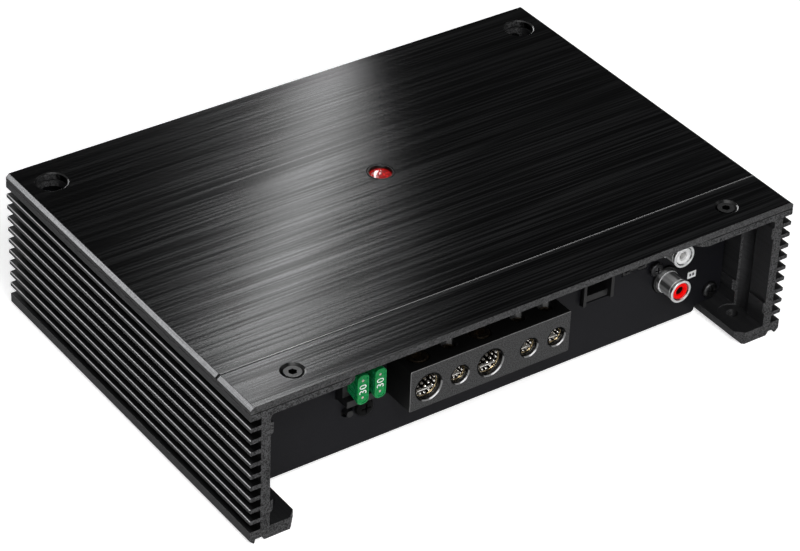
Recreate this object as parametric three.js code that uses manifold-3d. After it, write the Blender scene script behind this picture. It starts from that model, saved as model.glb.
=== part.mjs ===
// A compact mono car amplifier: a finned aluminium extrusion with a brushed cover plate,
// a lift-off cover over the wiring bay, plug-in blade fuses, screw terminals and signal inputs.
// Millimetres. Origin at the middle of the footprint on the mounting surface,
// +X to the right, -Y towards the connectors, +Z up.
import * as THREE from "three";
import { mergeVertices } from "three/addons/utils/BufferGeometryUtils.js";
import Module from "manifold-3d";

const wasm = await Module();
wasm.setup();

// ---------- driving dimensions ----------
const WIDTH = 222; // over the fin tips
const DEPTH = 157.4; // length of the extrusion
const HEIGHT = 55; // mounting surface to the top of the cover plate
const GAP = 0.3; // clearance between pieces that touch

// cover plate and terminal cover
const PLATE_T = 2.6;
const PLATE_BEVEL_W = 1.3;
const PLATE_BEVEL_H = 1.1;
const STRIP_DEPTH = 19.8; // terminal cover, front to back
const SEAM = 0.4; // between the terminal cover and the main plate

// heatsink extrusion
const WEB_T = 2.4;
const WALL_T = 3.5;
const FIN_REACH = 4.1;
const FIN_T = 1.65;
const FIN_PITCH = 4.666;
const FIN_TIP_CHAMFER = 0.25;
const FIRST_FIN_DROP = 8; // top of the cover plate to the first fin's top face
const LEG_H = 5;
const LEG_CHAMFER = 1.4;
const FOOT_REACH = 10.8; // foot, inward from the side wall's inner face
const FOOT_T = 4.9;
const FOOT_UNDERCUT = 2.1;
const FOOT_CORNER = 2.9;
const FOOT_GROOVE_W = 3.8;
const FOOT_GROOVE_D = 1.5;
const FOOT_GROOVE_INSET = 0.4; // from the leg's chamfer
const GROOVE_SLOPE_OUTER = 0.4;
const GROOVE_SLOPE_INNER = 0.9;
const INNER_FILLET = 1.4;
const RIB_REACH = 1.05;
const LOW_RIB_Z = 11.1;
const LOW_RIB_H = 4.2;
const LOW_RIB_SLOPE = 0.6;
const HIGH_RIB_DROP = 3.2; // web underside to the upper rib's top
const HIGH_RIB_H = 4.1;
const HIGH_RIB_SLOPE = 0.74;
const EAR_REACH = 34.4; // terminal-cover ear, inward from the side wall's inner face
const EAR_CORNER = 5.5;
const WEB_SETBACK = 21.3; // front edge to the web between the ears

// fixing holes
const FIXING_INSET_X = 11.3; // from the side edges
const FIXING_INSET_Y = 12.35; // from the front and back edges
const FIXING_R = 2.25;
const CHANNEL_R = 5.3; // screwdriver channel above each fixing hole
const SPOT_FACE_D = 0.5;
const ACCESS_R = 5.5; // hole in the cover plate
const ACCESS_CHAMFER = 0.4;

// terminal-cover screws
const COVER_SCREW_INSET_X = 22.1;
const COVER_SCREW_INSET_Y = 9.95;
const COVER_SINK_R = 4.3;
const COVER_HEAD_R = 3.35;
const COVER_SHANK_R = 1.6;
const COVER_HEAD_H = 1.8;
const COVER_HEAD_RIM = 0.3;
const COVER_SCREW_SINK = 0.4; // below the top of the cover
const COVER_SCREW_L = 9;
const HEX_AF = 2.7;
const HEX_DEPTH = 1.3;

// front and rear panels
const PANEL_T = 1.5;
const PANEL_SETBACK = 22.8; // front edge of the extrusion to the panel's face
const REAR_SETBACK = 2;
const PANEL_CORNER = 5;
const PANEL_TOP_CHAMFER = 1;
const TONGUE_REACH = 2; // the tongue between the feet stays this far inside them
const TONGUE_Z = 2.4;
const TONGUE_CORNER = 1.5;
const PANEL_SCREW_INSET = 6.7; // from the side wall's inner face
const PANEL_SCREW_Z = 10.1;

// bottom cover
const COVER_SHEET = 1.2;
const COVER_LEDGE = 5.2; // how far its flange reaches over the foot
const TAB_W = 7;

// circuit board
const PCB_Z = 11.4;
const PCB_T = 1.6;
const PCB_EDGE = 2.2; // board edge to the side wall
const PCB_END = 2.4; // board end to the front panel and to the rear fixing channels
const STANDOFF_R = 2.6;
const STANDOFF_INSET_X = 13;
const STANDOFF_INSET_Y = 8;
const HEADROOM = 2.2; // tallest component to the web

// terminal block
const BLOCK_W = 65.9;
const BLOCK_X = -9.75; // its middle
const BLOCK_H = 16.5;
const BLOCK_Z = 19.5; // its underside
const BLOCK_PROUD = 13.4; // from the panel's face
const BLOCK_TAIL = 7; // behind the panel's face
const BLOCK_FLANGE = 2.5; // behind the panel, all round
const BORE_Z = 27.4;
const BORE_LEAD = 1.6; // depth of the plastic lead-in
const BIG = { bore: 4.6, mouth: 5.2, half: 5.7, screw: 3.9, screwL: 3.6 };
const SMALL = { bore: 3.05, mouth: 3.55, half: 4.2, screw: 2.4, screwL: 3.4 };
const SET_SCREW_SETBACK = 7.2; // from the block's front face
const CONTACT_END_GAP = 0.8; // behind the contacts
const CONTACT_BLIND = 2.5;
const TERMINALS = [
  { name: "ground", x: -35.3, size: BIG },
  { name: "remote", x: -22.6, size: SMALL },
  { name: "supply", x: -10.0, size: BIG },
  { name: "speaker_negative", x: 6.0, size: SMALL },
  { name: "speaker_positive", x: 17.5, size: SMALL },
];

// fuses
const FUSE_X = -56.05; // midway between the two
const FUSE_PITCH = 6.85;
const FUSE_Z = 33.9;
const FUSE_H = 11.8;
const FUSE_W = 4.6;
const FUSE_HEAD_T = 1.3;
const FUSE_BODY_L = 6.3;
const FUSE_TAPER = 1.7;
const FUSE_SHOULDER = 0.7;
const FUSE_NECK_INSET = 0.35;
const FUSE_CROWN = 1; // plastic between the head and the link
const BLADE_W = 2.4;
const BLADE_T = 0.7;
const BLADE_L = 7.5;
const BLADE_SPACING = 6.6;
const LINK_H = 1;
const HOLDER_MARGIN = 1.3;
const HOLDER_TOP = 42.6;
const HOLDER_BOTTOM = 25;
const HOLDER_PROUD = 3.7;
const LIP_H = 2.6;
const LIP_PROUD = 6.4;
const HOLDER_BASE_Z = 14.2;
const HOLDER_TAIL = 9;
const HOLDER_FLANGE = 2; // behind the panel, round the nose
const BLADE_END_ROOM = 1.5;
const HOLDER_SCREW = { x: -52.3, z: 18.1 };
const PEG = { x: -58.6, z: 18.1, r: 1.3, hole: 2.4, proud: 2 };

// RCA inputs
const RCA_X = 75.4;
const RCA_Z = 22;
const RCA_SPACING = 14.85;
const RCA_R = 4.16;
const RCA_RIM_R = 4.45;
const RCA_BORE_R = 3.5;
const RCA_HOLE_R = 1.75;
const RCA_PROUD = 9.4;
const RCA_COLLAR_R = 5.3;
const RCA_COLLAR_PROUD = 0.8;
const RCA_BODY_W = 15.6;
const RCA_BODY_TAIL = 12;
const RCA_RIM_L = 1;
const RCA_RIM_SLOPE = 0.3;
const RCA_POCKET_END = 3; // plastic behind the barrels
const RCA_BLIND = 2; // closed back of the insulator
const RCA_INSERT_SINK = 0.35;
const RCA_SCREW = { x: 70.4, z: 28.5 };

// other sockets and controls
const HIGH_LEVEL = {
  x: 44.6,
  z: 32.1,
  w: 10.6,
  h: 15,
  wall: 1.3,
  proud: 1.7,
  depth: 9,
  flange: 0.5,
  floor: 2.6,
  back: 2,
};
const TONGUE = { dx: -1.2, dz: -0.6, side: 1.7, h: 2.2, setback: 1.2 };
const REMOTE = { x: 60.5, z: 35.4, w: 9.8, h: 8, wall: 1.1, depth: 8, key: 1.4, flange: 0.4, back: 2 };
const PIN = { size: 0.9, pitch: 3, dz: 0.6, setback: 1.5 };
const KNOBS = [
  { name: "gain", x: -95 },
  { name: "low_pass", x: -84 },
  { name: "bass", x: -73 },
];
const KNOB_Z = 41;
const KNOB_R = 3.2;
const KNOB_L = 5.2;
const KNOB_STANDOFF = 0.6;
const SHAFT_R = 1.5;
const BUSH_R = 2.6;
const POT_W = 9;
const POT_T = 5;
const SHAFT_GRIP = 3.6; // how far the shaft reaches into the knob
const KNOB_FACE_T = 1.2; // knob's face to the end of its bore
const POINTER = { w: 0.7, depth: 0.7 };
const SWITCH = { x: 31, z: 42, w: 9, h: 5, t: 5, slotW: 4.8, lever: 1.9, travel: 2, back: 1.2, proud: 1.4 };

// indicator
const LENS_Y = 12;
const LENS_R = 3.9;
const LENS_RIM_R = 4.7;
const LENS_SINK = 0.7;
const LENS_SKIRT_R = 3.2;
const LENS_RIM_T = 0.6;
const LENS_CHAMFER = 0.5;

// ---------- derived places ----------
const halfW = WIDTH / 2;
const frontY = -DEPTH / 2;
const backY = DEPTH / 2;
const plateBottom = HEIGHT - PLATE_T;
const webTop = plateBottom - GAP;
const webBottom = webTop - WEB_T;
const finRoot = halfW - FIN_REACH;
const wallInner = finRoot - WALL_T;
const footInner = wallInner - FOOT_REACH;
const stripBack = frontY + STRIP_DEPTH;
const plateFront = stripBack + SEAM;
const panelFace = frontY + PANEL_SETBACK;
const panelBack = panelFace + PANEL_T;
const rearFace = backY - REAR_SETBACK;
const fixingX = halfW - FIXING_INSET_X;
const fixingY = backY - FIXING_INSET_Y;
const pcbTop = PCB_Z + PCB_T;
const boardFront = panelBack + PCB_END;
const boardBack = fixingY - CHANNEL_R - PCB_END;
const blockFront = panelFace - BLOCK_PROUD;
const panelScrewX = wallInner - PANEL_SCREW_INSET;
const coverScrewX = halfW - COVER_SCREW_INSET_X;
const coverScrewY = frontY + COVER_SCREW_INSET_Y;
const rcaPocketBack = RCA_BODY_TAIL - RCA_POCKET_END;
const lensBottom = webBottom - 0.2;
const partBase = pcbTop + GAP;

// ---------- shape helpers ----------
function solid(geometry) {
  const plain = geometry.index ? geometry.clone() : geometry;
  plain.deleteAttribute("normal");
  plain.deleteAttribute("uv");
  const merged = mergeVertices(plain, 1e-4);
  return new wasm.Manifold(
    new wasm.Mesh({
      numProp: 3,
      vertProperties: new Float32Array(merged.attributes.position.array),
      triVerts: new Uint32Array(merged.index.array),
    }),
  );
}

function geometryOf(manifold) {
  const mesh = manifold.getMesh();
  const geometry = new THREE.BufferGeometry();
  geometry.setAttribute("position", new THREE.BufferAttribute(mesh.vertProperties, 3));
  geometry.setIndex(new THREE.BufferAttribute(mesh.triVerts, 1));
  geometry.computeVertexNormals();
  return geometry;
}

const join = (first, ...rest) => rest.reduce((sum, piece) => sum.add(piece), first);
const cut = (first, ...tools) => tools.reduce((left, tool) => left.subtract(tool), first);

// A box between two corners.
function box(x0, x1, y0, y1, z0, z1) {
  const geometry = new THREE.BoxGeometry(x1 - x0, y1 - y0, z1 - z0);
  geometry.translate((x0 + x1) / 2, (y0 + y1) / 2, (z0 + z1) / 2);
  return solid(geometry);
}

// A box given by its middle in X and Z, its size, and the two Y faces.
const block = (x, z, w, h, y0, y1) => box(x - w / 2, x + w / 2, y0, y1, z - h / 2, z + h / 2);

// A turned shape: the profile is [radius, height] pairs that start and end on the axis or close up.
function turned(profile, segments = 16) {
  const points = profile.map(([radius, height]) => new THREE.Vector2(radius, height));
  return new THREE.LatheGeometry(points, segments);
}

// Turns a shape's axis from +Y to +Z.
const upright = (geometry) => geometry.rotateX(Math.PI / 2);

function rodZ(x, y, radius, z0, z1, segments = 16) {
  const profile = [[0, z0], [radius, z0], [radius, z1], [0, z1]];
  return solid(upright(turned(profile, segments)).translate(x, y, 0));
}

function rodY(x, z, radius, y0, y1, segments = 16) {
  const profile = [[0, y0], [radius, y0], [radius, y1], [0, y1]];
  return solid(turned(profile, segments).translate(x, 0, z));
}

function hexRod(radius, z0, z1) {
  const profile = [[0, z0], [radius, z0], [radius, z1], [0, z1]];
  return solid(upright(turned(profile, 6)));
}

// An outline in X and Z, extruded along Y.
function alongY(outline, y0, y1) {
  const geometry = new THREE.ExtrudeGeometry(outline, {
    depth: y1 - y0,
    bevelEnabled: false,
    curveSegments: 6,
  });
  geometry.rotateX(Math.PI / 2);
  geometry.translate(0, y1, 0);
  return solid(geometry);
}

// An outline in X and Y, extruded along Z.
function alongZ(outline, z0, z1, curveSegments = 6) {
  const geometry = new THREE.ExtrudeGeometry(outline, {
    depth: z1 - z0,
    bevelEnabled: false,
    curveSegments,
  });
  geometry.translate(0, 0, z0);
  return solid(geometry);
}

// An outline in Y and Z, extruded along X.
function alongX(outline, x0, x1) {
  const geometry = new THREE.ExtrudeGeometry(outline, {
    depth: x1 - x0,
    bevelEnabled: false,
    curveSegments: 6,
  });
  geometry.rotateX(Math.PI / 2);
  geometry.rotateZ(Math.PI / 2);
  geometry.translate(x0, 0, 0);
  return solid(geometry);
}

const shapeOf = (points) => new THREE.Shape(points.map(([a, b]) => new THREE.Vector2(a, b)));

// A rectangle with rounded corners, as a shape.
function roundedRectangle(u0, u1, v0, v1, radius) {
  const shape = new THREE.Shape();
  shape.moveTo(u0 + radius, v0);
  shape.lineTo(u1 - radius, v0);
  shape.absarc(u1 - radius, v0 + radius, radius, -Math.PI / 2, 0);
  shape.lineTo(u1, v1 - radius);
  shape.absarc(u1 - radius, v1 - radius, radius, 0, Math.PI / 2);
  shape.lineTo(u0 + radius, v1);
  shape.absarc(u0 + radius, v1 - radius, radius, Math.PI / 2, Math.PI);
  shape.lineTo(u0, v0 + radius);
  shape.absarc(u0 + radius, v0 + radius, radius, Math.PI, 1.5 * Math.PI);
  return shape;
}

// ---------- materials ----------
function finish(color, roughness, metalness) {
  return new THREE.MeshStandardMaterial({ color, roughness, metalness });
}
const BRUSHED_BLACK = finish(0x1c1d1f, 0.38, 0.9);
const ANODISED = finish(0x3c3d3f, 0.55, 0.7);
const PANEL_BLACK = finish(0x222226, 0.6, 0.2);
const PLASTIC_BLACK = finish(0x141414, 0.5, 0);
const NICKEL = finish(0xb8b2a6, 0.22, 1);
const STEEL_BLACK = finish(0x232323, 0.4, 0.8);
const STEEL = finish(0x9a9a9a, 0.35, 1);
const FUSE_GREEN = finish(0x1c9650, 0.35, 0);
const RCA_RED = finish(0xd41010, 0.4, 0);
const RCA_WHITE = finish(0xeeeeee, 0.4, 0);
const LENS_RED = finish(0xd02014, 0.2, 0);
const BOARD_GREEN = finish(0x14512e, 0.5, 0);
const COPPER = finish(0xa8592a, 0.35, 0.8);
const SLEEVE = finish(0x20242c, 0.35, 0);
const PACKAGE = finish(0x1a1a1c, 0.6, 0);

// ---------- heatsink extrusion ----------
function finTops() {
  const tops = [];
  const lowest = LEG_H + FIN_PITCH - FIN_T;
  for (let top = HEIGHT - FIRST_FIN_DROP; top > lowest; top -= FIN_PITCH) {
    tops.push(top);
  }
  return tops;
}

// The right half of the section, from the top centre line round to the inside centre line.
function rightHalfSection() {
  const points = [[halfW, webTop], [halfW, webBottom], [finRoot, webBottom]];
  for (const top of finTops()) {
    points.push([finRoot, top], [halfW - FIN_TIP_CHAMFER, top]);
    points.push([halfW, top - FIN_TIP_CHAMFER], [halfW, top - FIN_T + FIN_TIP_CHAMFER]);
    points.push([halfW - FIN_TIP_CHAMFER, top - FIN_T], [finRoot, top - FIN_T]);
  }
  points.push([finRoot, LEG_H], [halfW, LEG_H], [halfW, LEG_CHAMFER], [halfW - LEG_CHAMFER, 0]);
  const grooveOuter = halfW - LEG_CHAMFER - FOOT_GROOVE_INSET;
  const grooveInner = grooveOuter - FOOT_GROOVE_W;
  points.push([grooveOuter, 0], [grooveOuter - GROOVE_SLOPE_OUTER, FOOT_GROOVE_D]);
  points.push([grooveInner + GROOVE_SLOPE_INNER, FOOT_GROOVE_D], [grooveInner, 0]);
  points.push([footInner + FOOT_UNDERCUT, 0], [footInner, FOOT_UNDERCUT], [footInner, FOOT_T]);
  points.push([wallInner, FOOT_T], [wallInner, LOW_RIB_Z - RIB_REACH]);
  const ribFace = wallInner - RIB_REACH;
  points.push([ribFace, LOW_RIB_Z], [ribFace, LOW_RIB_Z + LOW_RIB_H]);
  points.push([wallInner, LOW_RIB_Z + LOW_RIB_H - LOW_RIB_SLOPE]);
  const highRibTop = webBottom - HIGH_RIB_DROP;
  points.push([wallInner, highRibTop - HIGH_RIB_H - HIGH_RIB_SLOPE]);
  points.push([ribFace, highRibTop - HIGH_RIB_H], [ribFace, highRibTop], [wallInner, highRibTop]);
  for (let i = 0; i <= 3; i++) {
    const angle = ((Math.PI / 2) * i) / 3;
    points.push([
      wallInner - INNER_FILLET * (1 - Math.cos(angle)),
      webBottom - INNER_FILLET * (1 - Math.sin(angle)),
    ]);
  }
  return points;
}

// The gap in the web between the two ears, rounded at the ears' corners, as a plan outline.
function wiringBayOutline() {
  const side = wallInner - EAR_REACH;
  const back = frontY + WEB_SETBACK;
  const shape = new THREE.Shape();
  const ahead = frontY - 2;
  shape.moveTo(-side - EAR_CORNER, ahead);
  shape.lineTo(side + EAR_CORNER, ahead);
  shape.lineTo(side + EAR_CORNER, frontY);
  shape.absarc(side + EAR_CORNER, frontY + EAR_CORNER, EAR_CORNER, -Math.PI / 2, -Math.PI, true);
  shape.lineTo(side, back);
  shape.lineTo(-side, back);
  shape.lineTo(-side, frontY + EAR_CORNER);
  shape.absarc(-side - EAR_CORNER, frontY + EAR_CORNER, EAR_CORNER, 0, -Math.PI / 2, true);
  return shape;
}

function heatsinkExtrusion() {
  const half = rightHalfSection();
  const mirrored = half.map(([x, z]) => [-x, z]).reverse();
  let body = alongY(shapeOf([...half, ...mirrored]), frontY, backY);
  body = cut(body, alongZ(wiringBayOutline(), webBottom - 1, webTop + 1, 8));
  for (const sideX of [-1, 1]) {
    for (const sideY of [-1, 1]) {
      const x = sideX * fixingX;
      const y = sideY * fixingY;
      body = cut(
        body,
        rodZ(x, y, CHANNEL_R, FOOT_T - SPOT_FACE_D, webTop + 1, 20),
        rodZ(x, y, FIXING_R, -1, FOOT_T),
        footCornerCut(sideX, sideY),
      );
    }
    const shank = COVER_SHANK_R + GAP;
    body = cut(body, rodZ(sideX * coverScrewX, coverScrewY, shank, webBottom - 1, webTop + 1, 12));
  }
  const lensHole = rodZ(0, LENS_Y, LENS_SKIRT_R + GAP, webBottom - 1, webTop + 1);
  return cut(body, lensHole);
}

// A vertical chamfer on the inner corner of a foot's end.
function footCornerCut(sideX, sideY) {
  const x = sideX * footInner;
  const y = sideY * backY;
  const outX = x - sideX * 1;
  const outY = y + sideY * 1;
  const corner = [
    [outX, outY],
    [x + sideX * (FOOT_CORNER + 1), outY],
    [outX, y - sideY * (FOOT_CORNER + 1)],
  ];
  const outline = sideX * sideY > 0 ? corner : corner.reverse();
  return alongZ(shapeOf(outline), -1, FOOT_T + 0.5);
}

// ---------- cover plate and terminal cover ----------
function plateSection() {
  return shapeOf([
    [-halfW, plateBottom],
    [halfW, plateBottom],
    [halfW, HEIGHT - PLATE_BEVEL_H],
    [halfW - PLATE_BEVEL_W, HEIGHT],
    [-halfW + PLATE_BEVEL_W, HEIGHT],
    [-halfW, HEIGHT - PLATE_BEVEL_H],
  ]);
}

// A round hole through the plate with a chamfered rim.
function rimmedHole(x, y, radius, chamfer) {
  const profile = [
    [0, plateBottom - 1],
    [radius, plateBottom - 1],
    [radius, HEIGHT - chamfer],
    [radius + 2 * chamfer, HEIGHT + chamfer],
    [0, HEIGHT + chamfer],
  ];
  return solid(upright(turned(profile, 24)).translate(x, y, 0));
}

function topCoverPlate() {
  const plate = alongY(plateSection(), plateFront, backY);
  const recess = rodZ(0, LENS_Y, LENS_RIM_R + GAP, HEIGHT - LENS_SINK - LENS_RIM_T - GAP, HEIGHT + 1, 24);
  return cut(
    plate,
    rimmedHole(-fixingX, fixingY, ACCESS_R, ACCESS_CHAMFER),
    rimmedHole(fixingX, fixingY, ACCESS_R, ACCESS_CHAMFER),
    recess,
    rodZ(0, LENS_Y, LENS_SKIRT_R + GAP, plateBottom - 1, HEIGHT),
  );
}

function countersink(x, y) {
  const throat = COVER_SHANK_R + 2 * GAP;
  const depth = COVER_SINK_R - throat;
  const profile = [
    [0, plateBottom - 1],
    [throat, plateBottom - 1],
    [throat, HEIGHT - depth],
    [COVER_SINK_R + 1, HEIGHT + 1],
    [0, HEIGHT + 1],
  ];
  return solid(upright(turned(profile, 24)).translate(x, y, 0));
}

function terminalCover() {
  const strip = alongY(plateSection(), frontY, stripBack);
  return cut(strip, countersink(-coverScrewX, coverScrewY), countersink(coverScrewX, coverScrewY));
}

// Countersunk screw with a hexagon socket. Its origin is at the middle of its top face.
function coverScrew() {
  const profile = [
    [0, -COVER_SCREW_L],
    [COVER_SHANK_R - 0.4, -COVER_SCREW_L],
    [COVER_SHANK_R, -COVER_SCREW_L + 0.5],
    [COVER_SHANK_R, -COVER_HEAD_H],
    [COVER_HEAD_R, -COVER_HEAD_RIM],
    [COVER_HEAD_R, 0],
    [0, 0],
  ];
  const body = solid(upright(turned(profile, 20)));
  return cut(body, hexRod(HEX_AF / Math.sqrt(3), -HEX_DEPTH, 1));
}

// ---------- panels ----------
// The outline that closes the extrusion: rounded lower corners, and a tongue between the feet.
function panelOutline() {
  const side = wallInner - RIB_REACH - GAP;
  const top = webBottom - GAP;
  const shelf = FOOT_T + GAP;
  const tongue = footInner - TONGUE_REACH;
  const shape = new THREE.Shape();
  shape.moveTo(-tongue + TONGUE_CORNER, TONGUE_Z);
  shape.lineTo(tongue - TONGUE_CORNER, TONGUE_Z);
  shape.absarc(tongue - TONGUE_CORNER, TONGUE_Z + TONGUE_CORNER, TONGUE_CORNER, -Math.PI / 2, 0);
  shape.lineTo(tongue, shelf);
  shape.lineTo(side - PANEL_CORNER, shelf);
  shape.absarc(side - PANEL_CORNER, shelf + PANEL_CORNER, PANEL_CORNER, -Math.PI / 2, 0);
  shape.lineTo(side, top - PANEL_TOP_CHAMFER);
  shape.lineTo(side - PANEL_TOP_CHAMFER, top);
  shape.lineTo(-side + PANEL_TOP_CHAMFER, top);
  shape.lineTo(-side, top - PANEL_TOP_CHAMFER);
  shape.lineTo(-side, shelf + PANEL_CORNER);
  shape.absarc(-side + PANEL_CORNER, shelf + PANEL_CORNER, PANEL_CORNER, Math.PI, 1.5 * Math.PI);
  shape.lineTo(-tongue, shelf);
  shape.lineTo(-tongue, TONGUE_Z + TONGUE_CORNER);
  shape.absarc(-tongue + TONGUE_CORNER, TONGUE_Z + TONGUE_CORNER, TONGUE_CORNER, Math.PI, 1.5 * Math.PI);
  return shape;
}

const PANEL_SCREW = { head: 3.1, headH: 1.7, shank: 1.5, length: 3.7 };
const HOLDER_SCREW_SIZE = { head: 3.5, headH: 2, shank: 1.6, length: 8 };
const RCA_SCREW_SIZE = { head: 2.7, headH: 1.8, shank: 1.4, length: 8 };

function frontPanel() {
  const before = panelFace - 1;
  const after = panelBack + 1;
  const hole = (x, z, radius, segments = 14) => rodY(x, z, radius, before, after, segments);
  const window = (x, z, w, h) => block(x, z, w, h, before, after);
  const holder = holderNose();
  const highLevelW = HIGH_LEVEL.w + 2 * (HIGH_LEVEL.wall + GAP);
  return cut(
    alongY(panelOutline(), panelFace, panelBack),
    window(BLOCK_X, BLOCK_Z + BLOCK_H / 2, BLOCK_W + 2 * GAP, BLOCK_H + 2 * GAP),
    box(holder.x0 - GAP, holder.x1 + GAP, before, after, HOLDER_BOTTOM - GAP, HOLDER_TOP + GAP),
    hole(HOLDER_SCREW.x, HOLDER_SCREW.z, HOLDER_SCREW_SIZE.shank + GAP),
    hole(PEG.x, PEG.z, PEG.hole),
    hole(RCA_X, RCA_Z, RCA_COLLAR_R + GAP, 24),
    hole(RCA_X, RCA_Z + RCA_SPACING, RCA_COLLAR_R + GAP, 24),
    hole(RCA_SCREW.x, RCA_SCREW.z, RCA_SCREW_SIZE.shank + GAP),
    window(HIGH_LEVEL.x, HIGH_LEVEL.z, highLevelW, HIGH_LEVEL.h + 2 * GAP),
    remoteOutline(REMOTE.wall + GAP, before, after),
    window(SWITCH.x, SWITCH.z, SWITCH.slotW, SWITCH.lever + 2 * GAP),
    ...KNOBS.map((knob) => hole(knob.x, KNOB_Z, BUSH_R + GAP)),
    ...[-1, 1].map((side) => hole(side * panelScrewX, PANEL_SCREW_Z, PANEL_SCREW.shank + GAP)),
  );
}

function rearPanel() {
  const inner = rearFace - PANEL_T;
  const radius = PANEL_SCREW.shank + GAP;
  const hole = (side) => rodY(side * panelScrewX, PANEL_SCREW_Z, radius, inner - 1, rearFace + 1);
  return cut(alongY(panelOutline(), inner, rearFace), hole(-1), hole(1));
}

// Pan-head screw with a cross recess. Its shank points along +Y and its origin is under the head.
function panScrew({ head, headH, shank, length }) {
  const profile = [
    [0, -headH],
    [head * 0.65, -headH],
    [head, -headH * 0.45],
    [head, 0],
    [shank, 0],
    [shank, length],
    [0, length],
  ];
  const slotDepth = headH * 0.6;
  const slotL = head * 0.62;
  const slotW = head * 0.11;
  return cut(
    solid(turned(profile)),
    box(-slotL, slotL, -headH - 1, -headH + slotDepth, -slotW, slotW),
    box(-slotW, slotW, -headH - 1, -headH + slotDepth, -slotL, slotL),
  );
}

// ---------- bottom cover ----------
// A pressed sheet between the feet, with flanges over them and tabs that take the panel screws.
// Its flanges are notched round the rear fixing channels.
function bottomCover() {
  const inner = footInner - GAP;
  const y0 = panelBack + GAP;
  const y1 = rearFace - PANEL_T - GAP;
  const shelf = FOOT_T + GAP;
  const reach = footInner + COVER_LEDGE;
  const floorZ = TONGUE_Z;
  const section = shapeOf([
    [-inner, floorZ],
    [inner, floorZ],
    [inner, shelf],
    [reach, shelf],
    [reach, shelf + COVER_SHEET],
    [inner - COVER_SHEET, shelf + COVER_SHEET],
    [inner - COVER_SHEET, floorZ + COVER_SHEET],
    [-inner + COVER_SHEET, floorZ + COVER_SHEET],
    [-inner + COVER_SHEET, shelf + COVER_SHEET],
    [-reach, shelf + COVER_SHEET],
    [-reach, shelf],
    [-inner, shelf],
  ]);
  let cover = alongY(section, y0, y1);
  const tabTop = PANEL_SCREW_Z + TAB_W / 2;
  for (const side of [-1, 1]) {
    for (const y of [boardFront + STANDOFF_INSET_Y, boardBack - STANDOFF_INSET_Y]) {
      const x = side * (wallInner - PCB_EDGE - STANDOFF_INSET_X);
      cover = join(cover, rodZ(x, y, STANDOFF_R, floorZ + COVER_SHEET / 2, PCB_Z - GAP, 12));
    }
    const x0 = side * panelScrewX - TAB_W / 2;
    for (const [near, far] of [[y0, y0 + COVER_SHEET], [y1 - COVER_SHEET, y1]]) {
      cover = join(cover, box(x0, x0 + TAB_W, near, far, shelf, tabTop));
      const radius = PANEL_SCREW.shank + GAP;
      cover = cut(cover, rodY(side * panelScrewX, PANEL_SCREW_Z, radius, near - 1, far + 1));
    }
    cover = cut(cover, rodZ(side * fixingX, fixingY, CHANNEL_R + GAP, shelf - 1, tabTop, 20));
  }
  return cover;
}

// ---------- terminal block ----------
function terminalBlock() {
  const x0 = BLOCK_X - BLOCK_W / 2;
  const back = panelFace + BLOCK_TAIL;
  const top = BLOCK_Z + BLOCK_H;
  let body = box(x0, x0 + BLOCK_W, blockFront, back, BLOCK_Z, top);
  const flangeW = BLOCK_W + 2 * BLOCK_FLANGE;
  const flangeH = BLOCK_H + 2 * BLOCK_FLANGE;
  const flange = block(BLOCK_X, BLOCK_Z + BLOCK_H / 2, flangeW, flangeH, panelBack + GAP, back);
  body = join(body, flange);
  for (const { x, size } of TERMINALS) {
    const pocket = size.half + GAP;
    body = cut(
      body,
      rodY(x, BORE_Z, size.mouth, blockFront - 1, blockFront + BORE_LEAD + 1, 20),
      box(x - pocket, x + pocket, blockFront + BORE_LEAD, back + 1, BORE_Z - pocket, BORE_Z + pocket),
      rodZ(x, blockFront + SET_SCREW_SETBACK, size.screw + GAP, BORE_Z, top + 1),
    );
  }
  return body;
}

// A plated block with a wire bore and a threaded hole for its set screw.
// Its origin is on the bore's axis, at the block's front end.
function terminalContact(size) {
  const length = BLOCK_PROUD + BLOCK_TAIL - BORE_LEAD - CONTACT_END_GAP;
  const screwY = SET_SCREW_SETBACK - BORE_LEAD - GAP;
  return cut(
    box(-size.half, size.half, 0, length, -size.half, size.half),
    rodY(0, 0, size.bore, -1, length - CONTACT_BLIND, 20),
    rodZ(0, screwY, size.screw + GAP, 0, size.half + 1),
  );
}

// Set screw with a hexagon socket. Its origin is at the middle of its top face.
function setScrew(size) {
  const point = 0.4 * size.screw;
  const profile = [
    [0, -size.screwL],
    [size.screw - point, -size.screwL],
    [size.screw, -size.screwL + point],
    [size.screw, 0],
    [0, 0],
  ];
  return cut(solid(upright(turned(profile, 14))), hexRod(size.screw * 0.55, -size.screwL * 0.5, 1));
}

// ---------- fuses ----------
function holderNose() {
  const reach = FUSE_PITCH / 2 + FUSE_W / 2 + HOLDER_MARGIN;
  return { x0: FUSE_X - reach, x1: FUSE_X + reach };
}

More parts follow.
